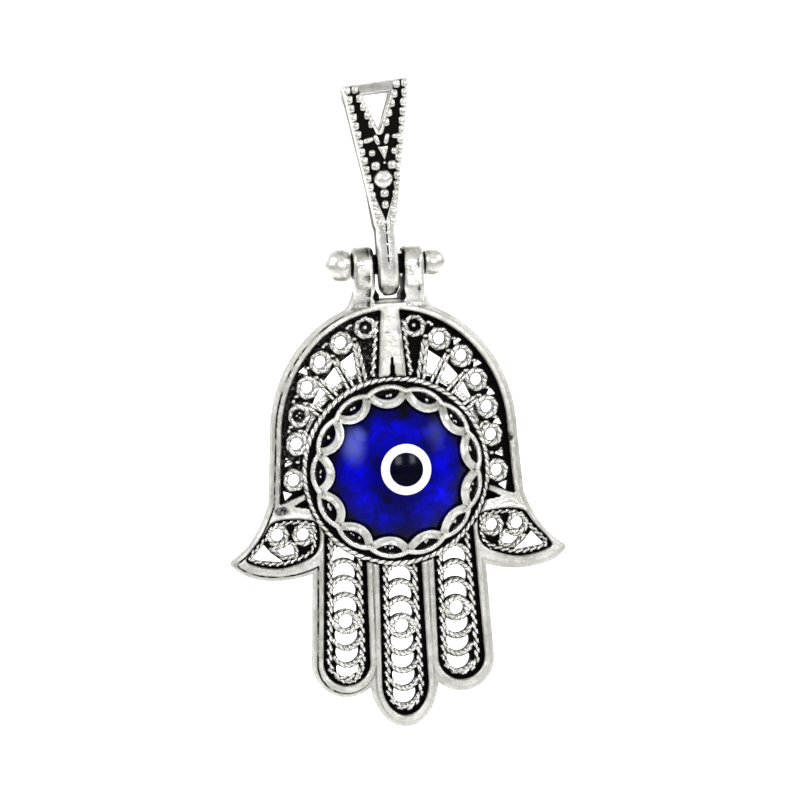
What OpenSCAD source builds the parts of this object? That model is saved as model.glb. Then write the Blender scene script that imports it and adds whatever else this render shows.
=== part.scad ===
// Hamsa pendant: a pierced silver hand with a glass eye, hinged under a tapered bail.
// Millimetres. +Z is up, the face looks along -Y, and the origin is where the chain runs,
// at the top of the bail's inside.

/* [Palm] */
// Width of the palm where its arch springs
palm_w = 19.7; // [18.6:0.1:21]
// Height of the arch, from its springing to its top
arch_h = 10.8; // [10:0.1:12]
// Height of the springing above the middle of the eye
spring_h = 2.8; // [2.2:0.1:3.4]
// Thickness of the rim, back to front
rim_t = 1.8; // [1.6:0.1:2.2]
// Width of the rim round the palm and along the fingers
rim_w = 0.8; // [0.6:0.05:1]
// Width of the bar above the eye, at its top
bar_top_w = 1.4; // [1:0.1:1.8]
// Width of the bar above the eye, at its foot
bar_foot_w = 2.3; // [1.9:0.1:2.8]

/* [Thumbs] */
// Width across the shoulders, where the thumbs leave the palm
shoulder_w = 20.4; // [19.8:0.1:21.4]
// Distance from the middle of the eye down to the shoulders
shoulder_drop = 2.2; // [1.9:0.1:2.6]
// Width across the tips of the thumbs
thumb_span = 26.8; // [25.8:0.1:28]
// Distance from the middle of the eye down to the tips of the thumbs
thumb_drop = 6.75; // [6.3:0.05:7.2]
// Distance from the middle of the eye down to the lowest edge of the thumbs
thumb_foot = 8.25; // [8:0.05:8.8]
// Width of a thumb's round tip
thumb_tip_w = 0.7; // [0.5:0.1:1]

/* [Fingers] */
// Distance from one finger's middle to the next, at the tips
finger_pitch = 4.6; // [4.5:0.05:4.9]
// Width of the hollow in a finger, at its tip
finger_w = 3.74; // [3.5:0.02:3.8]
// Width of that hollow at the knuckle, as a share of its width at the tip
finger_neck = 0.88; // [0.84:0.01:0.94]
// Distance from the middle of the eye to the end of the middle finger's hollow
middle_len = 19.45; // [18.5:0.05:20.5]
// Distance from the middle of the eye to the end of a side finger's hollow
side_len = 16.85; // [16.2:0.05:17.5]
// Width of the rim under the fingertips
tip_rim_w = 0.95; // [0.8:0.05:1.2]

/* [Filigree] */
// Thickness of the pierced web
web_t = 0.7; // [0.5:0.05:0.9]
// Depth of the web behind the back of the rim
web_back = 0.2; // [0.1:0.05:0.3]
// Width of a filigree wire
wire_w = 0.4; // [0.3:0.02:0.44]
// Height of the wires above the web
wire_h = 0.55; // [0.35:0.05:0.65]
// Radius of the hole in a filigree ring
ring_hole_r = 0.5; // [0.45:0.01:0.58]
// Distance from one opening to the next along a finger
cell_pitch = 1.36; // [1.3:0.01:1.4]
// Half the width of an opening in a finger
cell_r = 0.92; // [0.85:0.01:0.98]

/* [Glass eye] */
// Diameter of the glass
glass_d = 12; // [11.4:0.1:12.4]
// Height of the glass
glass_h = 4.2; // [3.8:0.1:4.8]
// Height of the glass's upright edge
girdle_h = 1.2; // [1:0.05:1.4]
// Diameter of the white ring
white_d = 4.08; // [3.6:0.02:4.6]
// Diameter of the pupil
pupil_d = 2.66; // [2.2:0.02:3]
// Depth of the ring and the pupil in the glass
inlay_t = 0.7; // [0.6:0.05:1]
// Distance of the ring to the right of the glass's middle
inlay_x = 0.35; // [0:0.05:0.6]
// Height of the ring above the glass's middle
inlay_rise = 0.3; // [0:0.05:0.5]
// Gap round the glass, the ring and the pupil
glass_fit = 0.04; // [0.02:0.01:0.06]

/* [Bezel] */
// Thickness of the plate under the glass
seat_t = 0.7; // [0.5:0.05:0.9]
// Thickness of the bezel's wall
bezel_t = 0.6; // [0.5:0.05:0.75]
// Number of scallops round the glass
scallops = 13; // [11:1:15]
// Thickness of the scalloped strip
strip_t = 0.5; // [0.4:0.05:0.6]
// Reach of a scallop over the glass
scallop_reach = 0.84; // [0.7:0.02:0.95]
// Gap between the bezel's wall and the wire ring round it
rope_gap = 0.34; // [0.2:0.02:0.44]
// Diameter of the wire ring round the bezel
rope_d = 0.6; // [0.5:0.05:0.7]
// Width of the flange behind the bezel, beyond the wire ring
flange_w = 0.7; // [0.5:0.05:1]
// Thickness of the flange
flange_t = 0.4; // [0.3:0.05:0.5]

/* [Hinge] */
// Height of the saddle between the ears above the palm's arch
saddle_rise = 0.1; // [0.05:0.05:0.3]
// Diameter of the hinge pin
pin_d = 1.6; // [1.4:0.05:1.8]
// Running gap round the pin in the bail, on the radius
pin_run = 0.06; // [0.03:0.01:0.09]
// Gap round the pin in the ears, on the radius
pin_fit = 0.03; // [0.02:0.01:0.05]
// Width of an ear
ear_w = 1.68; // [1.5:0.02:1.9]
// Depth of an ear, front to back
ear_d = 2.9; // [2.7:0.05:3.2]
// Gap between the ears
ear_gap = 2.26; // [2.1:0.02:2.5]
// Diameter of the ball on the pin's left end
left_ball_d = 2.74; // [2.4:0.02:3]
// Diameter of the ball on the pin's right end
right_ball_d = 2.28; // [2.1:0.02:2.6]
// Gap between a ball and its ear
ball_gap = 0.2; // [0.1:0.02:0.3]
// Distance of the hand's back behind the pin's axis
back_y = 1; // [0.9:0.05:1.2]

/* [Bail] */
// Distance from the chain's seat down to the pin's axis
bail_h = 13.7; // [13:0.1:14.6]
// Width of the bail at its top
bail_top_w = 5.44; // [5:0.02:6]
// Width of the ring round the pin
bail_ring_w = 1.6; // [1.4:0.02:1.9]
// Diameter of the ring round the pin
bail_ring_d = 5.06; // [4.8:0.02:5.2]
// Gap between that ring and the hand below it
ring_gap = 0.17; // [0.12:0.01:0.24]
// Thickness of the bail's wall
bail_t = 0.8; // [0.7:0.05:0.9]
// Depth of the bail's inside at its top
bail_in_d = 4.8; // [4.5:0.05:5.2]
// Radius of the bend at the top of the bail's inside
bail_bend_r = 0.8; // [0.6:0.05:1]
// Diameter of a small bead on the bail
bead_d = 0.54; // [0.44:0.02:0.6]
// Distance from one small bead to the next
bead_pitch = 0.76; // [0.7:0.02:0.9]
// Diameter of the large bead on the bail
large_bead_d = 1.54; // [1.3:0.02:1.7]

/* [Hidden] */
$fn = 48;

// A cutter reaches this far past what it cuts
over = 1;
arch_top = spring_h + arch_h;
thumb_tip_r = thumb_tip_w / 2;
pin_z = -bail_h;
// The pin stands as high as the bail's ring needs to clear the saddle
neck_h = arch_top + saddle_rise + ring_gap + bail_ring_d / 2;
eye_z = pin_z - neck_h;

// Heights above the hand's back
web_top = web_back + web_t;
wire_top = web_top + wire_h;
glass_z = seat_t + glass_fit;
dome_h = glass_h - girdle_h;
dome_r = (pow(glass_d / 2, 2) + dome_h * dome_h) / (2 * dome_h);
dome_z = glass_z + glass_h - dome_r;
inlay_z = glass_z + glass_h - inlay_t;

// Radii round the middle of the eye
cup_in_r = glass_d / 2 + glass_fit;
cup_r = cup_in_r + bezel_t;
rope_r = cup_r + rope_gap + rope_d / 2;
collar_r = rope_r + rope_d * 0.45;
flange_r = collar_r + flange_w;

// The scallops are circles that meet in cusps at the edge of the glass
scallop_tip_r = glass_d / 2 - scallop_reach;
scallop_c = (pow(glass_d / 2, 2) - pow(scallop_tip_r, 2))
    / (glass_d * cos(180 / scallops) - 2 * scallop_tip_r);
// One scallop stands nearly over the eye
scallop_turn = 95.4;

// Rings of the right half from the top down, and the gaps between them and the rim,
// as shares of half the palm's width and of the arch's height above the eye
RINGS = [
    [0.198, 0.843], [0.401, 0.761], [0.574, 0.654], [0.688, 0.511],
    [0.766, 0.349], [0.792, 0.184], [0.827, -0.026]
];
RIM_GAPS = [
    [0.344, 0.845], [0.544, 0.743], [0.702, 0.606], [0.805, 0.431],
    [0.852, 0.259], [0.863, 0.076], [0.884, -0.115]
];
ring_r = ring_hole_r + wire_w;
// Which rings are pierced, from the top down, on the right and on the left
ring_open = [[0, 1, 1, 1, 1, 1, 1], [0, 1, 1, 1, 0, 1, 1]];
// Which gaps between rings and rim are pierced, in the same order
gap_open = [[0, 1, 1, 1, 1, 1, 1], [0, 0, 1, 0, 0, 1, 1]];
// Angles round the eye at which the leaves between the rings stand on the bezel
leaf_feet = [72, 64, 53, 40, 22];

// Columns of the table of fingers: place of the middle at the tip, length, height of the
// round end as a share of its half width, level of the full ring as a share of the length,
// number of openings above and below that ring, and their pitch as a share of the usual one
PLACE = 0;
LENGTH = 1;
END = 2;
RING = 3;
ABOVE = 4;
BELOW = 5;
PITCH = 6;
FINGERS = [
    [-finger_pitch, side_len, 1, 0.7, 4, 3, 1],
    [0, middle_len, 1.4, 0.638, 3, 4, 1.03],
    [finger_pitch, side_len, 1, 0.664, 3, 3, 1.06]
];
// A finger leans out a little, so its middle at the knuckle and along its openings is further in
knuckle_share = 0.94;
cell_share = 0.97;
full_ring_r = ring_hole_r * 1.15;

// Thumb: hollow and openings as shares of the hollow's length and height,
// counted from the finger towards the tip and from the shoulder down
thumb_in_x = collar_r * 0.83;
thumb_out_x = thumb_span / 2 - rim_w;
thumb_in_top = shoulder_drop * 1.5;
thumb_in_foot = thumb_foot - rim_w * 1.1;
THUMB_HOLLOW = [
    [0.6, 0], [0.05, 0.04], [0, 0.23], [0.02, 0.69], [0.23, 0.88],
    [0.55, 1], [0.87, 0.88], [0.985, 0.77], [0.7, 0.3]
];
THUMB_RINGS = [[0.53, 0.333], [0.207, 0.345]];
THUMB_HEART = [
    [0.58, 0.59], [0.48, 0.575], [0.38, 0.5], [0.33, 0.59], [0.32, 0.72], [0.46, 0.75]
];
THUMB_CORNER = [[0.71, 0.5], [0.88, 0.79], [0.45, 0.88], [0.61, 0.69]];
THUMB_SLIT = [[0.16, 0.72], [0.27, 0.78], [0.26, 0.85], [0.18, 0.83]];

function blend2(a, b, c, n = 10) =
    [for (i = [1:n]) let (t = i / n) (1 - t) * (1 - t) * a + 2 * t * (1 - t) * b + t * t * c];
function blend3(a, b, c, d, n = 16) =
    [for (i = [1:n]) let (t = i / n)
        pow(1 - t, 3) * a + 3 * pow(1 - t, 2) * t * b + 3 * (1 - t) * t * t * c + t * t * t * d];
function polar(r, a) = [r * cos(a), r * sin(a)];
function left_too(p) =
    concat(p, [for (i = [len(p) - 1:-1:0]) if (p[i][0] > 0) [-p[i][0], p[i][1]]]);
// A straight bar of width w from a to b, as four corners
function bar(a, b, w) =
    let (d = (b - a) / norm(b - a), n = [-d[1], d[0]] * w / 2) [a + n, b + n, b - n, a - n];
// The polygon p with its corners rounded
function softened(p, n = 4) = [
    for (i = [0:len(p) - 1])
        let (before = (p[(i + len(p) - 1) % len(p)] + p[i]) / 2, after = (p[i] + p[(i + 1) % len(p)]) / 2)
            each blend2(before, p[i], after, n)
];
function shrunk(p, share) =
    let (c = (p[0] + p[1] + p[2] + p[3]) / 4) [for (q = p) c + (q - c) * share];

// A point of the palm's arch at angle a, moved in from its outer edge
function arch_point(inset, a) =
    [(palm_w / 2 - inset) * cos(a), spring_h + (arch_h - inset) * sin(a)];
function arch(inset, n = 32) = [for (i = [0:n]) arch_point(inset, 90 - 90 * i / n)];

function palm_point(s) = [s[0] * palm_w / 2, s[1] * arch_top];
// A leaf's tip, just inside two neighbouring rings
function leaf_tip(k) = 0.93 * palm_point(RINGS[k] + RINGS[k + 1]) / 2;

// A point in the right thumb's hollow, from its shares
function thumb_point(s) = [
    thumb_in_x + s[0] * (thumb_out_x - thumb_in_x),
    -thumb_in_top - s[1] * (thumb_in_foot - thumb_in_top)
];

// Outline of a finger's hollow, moved in or out, with its round end lowered by foot
function finger(f, inset, foot = 0) =
    let (
        tip_r = finger_w / 2 - inset,
        neck_r = finger_w * finger_neck / 2 - inset,
        neck_x = f[PLACE] * knuckle_share,
        end = -f[LENGTH] + inset - foot,
        bend_z = end + tip_r * f[END]
    )
    concat(
        [[neck_x + neck_r, -collar_r * 0.6]],
        [for (i = [0:24]) let (a = -180 * i / 24)
            [f[PLACE] + tip_r * cos(a), bend_z + tip_r * f[END] * sin(a)]],
        [[neck_x - neck_r, -collar_r * 0.6]]
    );
function full_ring(f) = [f[PLACE] * cell_share, -f[LENGTH] * f[RING]];

// Outline of the palm with both thumbs, down to the knuckles
function palm() =
    let (
        shoulder = [shoulder_w / 2, -shoulder_drop],
        tip = [thumb_span / 2 - thumb_tip_r, -thumb_drop],
        tip_top = tip + polar(thumb_tip_r, 60),
        tip_foot = tip + polar(thumb_tip_r, -55),
        root = [finger_pitch + finger_w / 2, -thumb_foot * 0.92],
        reach = tip[0] - root[0]
    )
    left_too(concat(
        arch(0),
        [shoulder],
        blend2(shoulder, shoulder + [0.37, 0.75] * [[tip_top[0] - shoulder[0], 0],
            [0, tip_top[1] - shoulder[1]]], tip_top),
        [for (a = [35, 0, -30]) tip + polar(thumb_tip_r, a)],
        [tip_foot],
        blend3(tip_foot, [tip[0] - 0.12 * reach, -thumb_foot], [tip[0] - 0.6 * reach, -thumb_foot * 1.06],
            root),
        [[0, root[1]]]
    ));

// The hand is drawn lying on its back, its middle under the eye, and then stood up
module facing() {
    translate([0, back_y, eye_z]) rotate([90, 0, 0]) children();
}

module slab(from, to) {
    translate([0, 0, from]) linear_extrude(to - from) children();
}

module both_sides() {
    children();
    mirror([1, 0, 0]) children();
}

module outline() {
    polygon(palm());
    for (f = FINGERS) polygon(finger(f, -rim_w, tip_rim_w - rim_w));
}

module palm_hollow() {
    difference() {
        polygon(concat([[0, arch_top - rim_w]], arch(rim_w),
            [[shoulder_w / 2 - rim_w, -shoulder_drop], [0, shoulder_drop * 0.6]]));
        circle(collar_r);
        polygon([[-over, arch_top], [bar_top_w / 2, arch_top], [bar_foot_w / 2, cup_r], [-over, cup_r]]);
    }
}

module thumb_hollow() {
    polygon(softened([for (s = THUMB_HOLLOW) thumb_point(s)]));
}

module hollows() {
    both_sides() {
        palm_hollow();
        thumb_hollow();
    }
    difference() {
        for (f = FINGERS) polygon(finger(f, 0));
        circle(collar_r);
    }
}

// An opening above the full ring of a finger: a disc, less the wire that runs under it
module crescent(r) {
    h = cell_pitch - wire_w;
    difference() {
        translate([0, h / 2 - r]) circle(r);
        translate([0, -h / 2 - r - wire_w]) circle(r + wire_w);
    }
}

// Puts its child at a finger's openings above the full ring (side 1) or below it (side -1)
module finger_cells(f, side) {
    for (i = [1:side > 0 ? f[ABOVE] : f[BELOW]])
        translate(full_ring(f) + [0, side * (i * cell_pitch * f[PITCH] + wire_w / 4)])
            mirror([0, side > 0 ? 0 : 1]) children();
}

module finger_openings(f) {
    translate(full_ring(f)) circle(full_ring_r);
    for (side = [1, -1]) finger_cells(f, side) crescent(cell_r);
}

module finger_wires(f) {
    difference() {
        polygon(finger(f, wire_w));
        polygon(finger(f, wire_w * 2));
    }
    translate(full_ring(f)) circle(full_ring_r + wire_w);
    for (side = [1, -1])
        finger_cells(f, side) translate([0, (cell_pitch - wire_w) / 2 - cell_r]) circle(cell_r + wire_w * 0.45);
}

module thumb_openings() {
    for (s = THUMB_RINGS) translate(thumb_point(s)) circle(ring_hole_r);
    for (p = [THUMB_HEART, THUMB_CORNER, THUMB_SLIT]) polygon([for (s = p) thumb_point(s)]);
}

module thumb_wires() {
    for (s = THUMB_RINGS) translate(thumb_point(s)) circle(ring_hole_r + wire_w * 0.8);
    difference() {
        offset(delta = -wire_w * 0.6) thumb_hollow();
        offset(delta = -wire_w * 1.4) thumb_hollow();
    }
    difference() {
        offset(delta = wire_w * 0.8) polygon([for (s = THUMB_HEART) thumb_point(s)]);
        polygon([for (s = THUMB_HEART) thumb_point(s)]);
    }
}

// side is 0 for the right half and 1 for the left half, drawn mirrored
module ring_holes(side) {
    for (k = [0:len(RINGS) - 1])
        if (ring_open[side][k]) translate(palm_point(RINGS[k])) circle(ring_hole_r);
}

module palm_openings(side) {
    for (k = [0:len(RINGS) - 1]) {
        gap = palm_point(RIM_GAPS[k]);
        if (gap_open[side][k])
            translate(gap) rotate(atan2(gap[1], gap[0]) + 180) circle(wire_w, $fn = 3);
    }
    for (k = [0:3])
        difference() {
            polygon(shrunk([polar(collar_r, leaf_feet[k]), polar(collar_r, leaf_feet[k + 1]),
                leaf_tip(k + 1), leaf_tip(k)], 0.7));
            translate(palm_point(RINGS[k + 1])) circle(ring_r);
        }
}

module palm_wires() {
    for (s = RINGS) translate(palm_point(s)) circle(ring_r);
    for (k = [0:len(leaf_feet) - 1], turn = [-1, 1])
        polygon(bar(polar(collar_r - wire_w, leaf_feet[k] + turn * 3), leaf_tip(k), wire_w * 0.7));
    polygon(bar([bar_top_w / 2 + wire_w * 0.9, arch_top - rim_w * 1.3],
        [bar_foot_w / 2 + wire_w * 0.9, collar_r - wire_w], wire_w * 0.7));
}

module openings() {
    palm_openings(0);
    mirror([1, 0, 0]) palm_openings(1);
    both_sides() thumb_openings();
    difference() {
        for (f = FINGERS) finger_openings(f);
        circle(collar_r);
    }
}

// The first ring of each half is closed, with a small knob in it
module closed_rings() {
    both_sides() translate(palm_point(RINGS[0])) difference() {
        circle(ring_hole_r);
        circle(ring_hole_r * 0.35);
    }
}

module pierced_hand() {
    difference() {
        union() {
            difference() {
                slab(0, rim_t) outline();
                slab(web_top, rim_t + over) {
                    hollows();
                    circle(collar_r);
                }
                slab(-over, web_back) hollows();
            }
            slab(web_top - web_t / 4, wire_top) {
                both_sides() {
                    palm_wires();
                    thumb_wires();
                }
                for (f = FINGERS) finger_wires(f);
            }
        }
        slab(-over, rim_t + over) openings();
        slab(web_top, rim_t + over) closed_rings();
        // Dark wedges at the foot of the bar above the eye, and at the inner ends of the shoulders
        slab(rim_t * 0.75, rim_t + over) {
            polygon([[-bar_foot_w / 12, rope_r], [bar_foot_w / 12, rope_r], [0, collar_r * 1.19]]);
            both_sides() polygon([for (s = [[0.97, 0.88], [1.08, 1.08], [0.95, 1.16]])
                [s[0] * collar_r, -s[1] * shoulder_drop]]);
        }
    }
}

// The cup under the glass, its flange behind the palm, and the wire ring on its collar
module bezel() {
    slab(0, flange_t) intersection() {
        circle(flange_r);
        translate([-flange_r, 0]) square([2 * flange_r, flange_r]);
    }
    cylinder(r = collar_r, h = web_top + wire_h / 2);
    cylinder(r = cup_r, h = glass_z + girdle_h);
    translate([0, 0, wire_top]) rotate_extrude() translate([rope_r, 0]) circle(rope_d / 2, $fn = 24);
}

// The strip that is folded over the glass in scallops, each with a slit in it
module scalloped_strip() {
    slit_w = strip_t * 0.45;
    slit_l = PI * glass_d / scallops * 0.29;
    slit_r = (slit_l * slit_l + slit_w * slit_w) / (2 * slit_w);
    difference() {
        intersection() {
            translate([0, 0, dome_z]) difference() {
                sphere(dome_r + glass_fit + strip_t, $fn = 96);
                sphere(dome_r + glass_fit, $fn = 96);
            }
            slab(web_top + wire_h / 2, rim_t + glass_h) intersection() {
                for (i = [0:scallops - 1])
                    rotate(scallop_turn + 360 / scallops * i)
                        translate([scallop_c, 0]) circle(scallop_c - scallop_tip_r);
                circle(cup_r + rope_d / 4);
            }
        }
        slab(glass_z + girdle_h * 0.9, rim_t + glass_h)
            for (i = [0:scallops - 1])
                rotate(scallop_turn + 360 / scallops * i) translate([cup_in_r * 1.02, 0]) intersection() {
                    translate([slit_r - slit_w, 0]) circle(slit_r);
                    translate([slit_w - slit_r, 0]) circle(slit_r);
                }
    }
}

// One ear on each side of the bail's ring, with a saddle between them
module ears() {
    foot_z = arch_top - rim_w - neck_h;
    for (side = [-1, 1])
        translate([side * (ear_gap + ear_w) / 2, 0, pin_z]) rotate([90, 0, 90])
            linear_extrude(ear_w, center = true) {
                circle(ear_d / 2);
                translate([-ear_d / 2, foot_z]) square([ear_d, -foot_z]);
            }
    facing() slab(0, rim_t) {
        translate([-ear_gap / 2 - ear_w / 2, arch_top - rim_w])
            square([ear_gap + ear_w, rim_w + saddle_rise]);
        both_sides() polygon(concat(
            [[ear_gap / 2, arch_top - rim_w], [ear_gap / 2 + ear_w, arch_top + rim_w]],
            blend2([ear_gap / 2 + ear_w, arch_top + rim_w],
                [ear_gap / 2 + ear_w * 1.05, arch_top - rim_w * 0.4],
                arch_point(rim_w * 0.2, 66))
        ));
    }
}

module hand() {
    color("silver") difference() {
        union() {
            facing() {
                pierced_hand();
                bezel();
                scalloped_strip();
            }
            ears();
        }
        facing() {
            translate([0, 0, seat_t]) cylinder(r = cup_in_r, h = girdle_h + glass_fit);
            // The rings are pierced through the flange too
            slab(-over, rim_t + over) {
                ring_holes(0);
                mirror([1, 0, 0]) ring_holes(1);
            }
        }
        translate([0, 0, pin_z]) rotate([0, 90, 0])
            cylinder(d = pin_d + 2 * pin_fit, h = ear_gap + 2 * ear_w + over, center = true);
    }
}

module hinge_pin() {
    ear_face = ear_gap / 2 + ear_w;
    color("silver") translate([0, 0, pin_z]) {
        rotate([0, 90, 0]) cylinder(d = pin_d, h = 2 * ear_face + pin_d * 1.25, center = true);
        for (ball = [[-1, left_ball_d], [1, right_ball_d]])
            difference() {
                translate([ball[0] * (ear_face + ball_gap + ball[1] * 0.28), 0, 0]) sphere(d = ball[1]);
                translate([ball[0] * (ear_face + ball_gap - left_ball_d), 0, 0])
                    cube(2 * left_ball_d, center = true);
            }
    }
}

// The glass's whole form, before the ring is let into it
module glass_form(grow = 0) {
    intersection() {
        translate([0, 0, glass_z]) cylinder(d = glass_d, h = glass_h + over);
        translate([0, 0, dome_z]) sphere(dome_r + grow, $fn = 96);
    }
}

module eye_glass() {
    color("mediumblue") facing() difference() {
        glass_form();
        translate([inlay_x, inlay_rise, inlay_z]) cylinder(d = white_d, h = inlay_t + over);
    }
}

module eye_ring() {
    color("white") facing() difference() {
        intersection() {
            glass_form(glass_fit);
            translate([inlay_x, inlay_rise, inlay_z + glass_fit])
                cylinder(d = white_d - 2 * glass_fit, h = inlay_t + over);
        }
        translate([inlay_x, inlay_rise, inlay_z - over]) cylinder(d = pupil_d, h = inlay_t + 3 * over);
    }
}

module pupil() {
    color("black") facing() intersection() {
        glass_form(glass_fit * 2);
        translate([inlay_x, inlay_rise, inlay_z + glass_fit])
            cylinder(d = pupil_d - 2 * glass_fit, h = inlay_t + over);
    }
}

// The bail, drawn with the pin's axis at its origin
bail_bend_out = bail_bend_r + bail_t;
bend_y = bail_in_d / 2 - bail_bend_r;
bend_z = bail_h - bail_bend_r;
bail_top = bail_h + bail_t;
// Lean of the bail's front, tangent to the ring and to the bend at the top
front_lean = atan2(bend_y, bend_z)
    - asin((bail_ring_d / 2 - bail_bend_out) / norm([bend_y, bend_z]));
// The bail widens from here, just above the ring
widen_z = bail_ring_d * 0.5534;
window_foot = bail_top * 0.725;
window_top = bail_h - bail_t * 0.4;
window_w = bail_top_w * 0.4;
// The beads within the rows: place as shares of the bail's half width and height, and size
BEADS = [
    [0.52, 0.69, 1.05], [0.2, 0.685, 1.1], [0.55, 0.613, 1.05], [0.46, 0.548, 1.35]
];

function half_width(z) =
    bail_ring_w / 2 + (bail_top_w - bail_ring_w) / 2 * max(0, z - widen_z) / (bail_top - widen_z);
// The front face's distance before the pin's axis at height z
function front_y(z) =
    z < bend_z
        ? bail_ring_d / 2 / cos(front_lean) + z * tan(front_lean)
        : bend_y + sqrt(pow(bail_bend_out, 2) - pow(z - bend_z, 2));

module bead(x, z, d) {
    translate([x, -front_y(z), z]) sphere(d = d, $fn = 24);
}

module bail_beads() {
    rows = floor((bail_top - widen_z - bead_pitch * 0.4) / bead_pitch);
    inner_rows = floor((bail_top - window_foot - bead_pitch * 0.4) / bead_pitch);
    for (side = [-1, 1]) {
        for (i = [1:rows]) {
            z = widen_z + i * bead_pitch;
            bead(side * (half_width(z) - bead_d * 0.55), z, bead_d);
        }
        for (i = [1:inner_rows]) {
            z = window_foot + i * bead_pitch;
            inner_x = window_w / 2 * (z - window_foot) / (window_top - window_foot);
            bead(side * (inner_x + bead_d * 0.6), z, bead_d);
        }
        for (b = BEADS)
            bead(side * b[0] * half_width(b[1] * bail_top), b[1] * bail_top, b[2] * bead_d);
    }
    bead(0, bail_top * 0.476, large_bead_d);
    bead(0, bail_top * 0.393, bead_d * 1.35);
    bead(0, bail_top * 0.338, bead_d * 1.2);
}

module bail_side() {
    difference() {
        hull() {
            circle(bail_ring_d / 2, $fn = 96);
            for (side = [-1, 1]) translate([side * bend_y, bend_z]) circle(bail_bend_out);
        }
        hull() {
            translate([0, bail_ring_d * 0.87]) circle(bail_in_d * 0.37);
            for (side = [-1, 1]) translate([side * bend_y, bend_z]) circle(bail_bend_r);
        }
    }
}

module bail() {
    color("silver") translate([0, 0, pin_z]) difference() {
        union() {
            intersection() {
                rotate([90, 0, 90]) linear_extrude(bail_top_w + over, center = true) bail_side();
                rotate([90, 0, 0]) linear_extrude(bail_in_d * 2, center = true)
                    polygon(left_too([[0, bail_top + over],
                        [half_width(bail_top + over), bail_top + over],
                        [bail_ring_w / 2, widen_z], [bail_ring_w / 2, -bail_ring_d], [0, -bail_ring_d]]));
            }
            bail_beads();
        }
        rotate([90, 0, 0]) linear_extrude(bail_in_d * 2, center = true)
            polygon([[0, window_foot], [window_w / 2, window_top], [-window_w / 2, window_top]]);
        rotate([0, 90, 0]) cylinder(d = pin_d + 2 * pin_run, h = bail_ring_w + over, center = true);
    }
}

bail();
hinge_pin();
hand();
eye_glass();
eye_ring();
pupil();
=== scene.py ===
"""The looks of a hamsa pendant: a pierced silver hand with a glass eye, hung from a beaded bail.

Measures are millimetres and meshes are metres. A point of the hand is given as across and up from
the middle of the eye, and high above the hand's back; a point of the bail as across, up from the
pin's axis, and out towards the viewer.
"""
import math
from functools import reduce

import bpy
import numpy as np
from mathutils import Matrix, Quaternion, Vector


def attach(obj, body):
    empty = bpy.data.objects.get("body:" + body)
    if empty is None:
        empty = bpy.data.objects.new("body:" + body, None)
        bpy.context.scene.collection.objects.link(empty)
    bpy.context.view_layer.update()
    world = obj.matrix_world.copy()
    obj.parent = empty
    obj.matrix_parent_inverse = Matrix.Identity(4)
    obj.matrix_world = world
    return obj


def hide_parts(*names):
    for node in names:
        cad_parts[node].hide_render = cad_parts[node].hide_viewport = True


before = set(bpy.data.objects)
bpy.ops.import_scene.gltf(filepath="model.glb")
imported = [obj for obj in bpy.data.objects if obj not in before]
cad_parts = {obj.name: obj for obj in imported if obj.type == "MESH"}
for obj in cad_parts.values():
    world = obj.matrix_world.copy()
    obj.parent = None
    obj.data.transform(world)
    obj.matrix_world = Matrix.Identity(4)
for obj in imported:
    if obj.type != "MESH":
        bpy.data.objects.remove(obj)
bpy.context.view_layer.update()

MM = 0.001
PIN_Z = -13.7
EYE_Z = -30.1
BACK_Y = 1.0

# The palm, from its arch down to the thumbs
HALF_PALM = 9.85
ARCH_H = 10.8
SPRING_H = 2.8
ARCH_TOP = SPRING_H + ARCH_H
RIM_W = 0.8
RIM_T = 1.8
SHOULDER = np.array([10.2, -2.2])
TIP = np.array([13.05, -6.75])
TIP_R = 0.35
THUMB_FOOT = -8.25

# The bezel, as radii round the middle of the eye
CUP_IN_R = 6.04
CUP_R = 6.64
ROPE_R = 7.28
ROPE_MID = 1.42
COLLAR_R = 7.55
FLANGE_R = 8.25
FLANGE_FOOT = 0.02
FLANGE_T = 0.4
SCALLOPS = 13
SCALLOP_TURN = math.radians(95.4)
SCALLOP_MID = 7.04
SCALLOP_R = 1.62
SCALLOP_REACH = 66
# The wire and the grains behind the scallops: radii, and how high they lie
BACK_WIRE_R = 6.36
GRAIN_R = 5.98
GRAIN_H = 2.0
DOME_R = 7.5
DOME_FOOT = -2.56

# The glass and its inlays
GLASS_R = 6.0
GLASS_FOOT = 0.74
INLAY_SPOT = (0.35, 0.3)
INLAY_FOOT = 4.28
RING_RADII = [2.0, 1.97, 1.85, 1.67, 1.5, 1.36, 1.33]
PUPIL_R = 1.29

# The pierced web and its wires
WEB_BACK = 0.2
WEB_TOP = 0.9
WIRE_W = 0.4
WIRE_MID = 1.13
# The twisted wires: half width, length of half a twist, how full the grooves are, height over
# width, and how much of the grooves is black
WIRES = {
    "palm_ring": (0.27, 0.62, 0.84, 1.25, 0.09),
    "first_leaf": (0.23, 0.72, 0.7, 1.5, 0.09),
    "leaf": (0.18, 0.72, 0.85, 1.5, 0.09),
    "beside_bar": (0.28, 0.72, 0.66, 1.2, 0.14),
    "finger_edge": (0.29, 0.76, 0.5, 1.15, 0.2),
    "finger_ring": (0.25, 0.5, 0.75, 1.25, 0.14),
    "finger_arch": (0.23, 0.46, 0.76, 1.2, 0.12),
    "thumb_edge": (0.24, 0.58, 0.65, 1.2, 0.22),
    "thumb_ring": (0.25, 0.55, 0.76, 1.15, 0.12),
    "heart": (0.19, 0.55, 0.7, 1.4, 0.16),
    "rope": (0.28, 0.6, 0.78, 1.15, 0.1)
}
GAP_R = WIRE_W + 0.08
LEAF_GAP = 0.7
HOLE_R = 0.5
CELL_PITCH = 1.36
CELL_R = 0.92
CELL_SHIFT = WIRE_W / 4 + (CELL_PITCH - WIRE_W) / 2 - CELL_R
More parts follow.
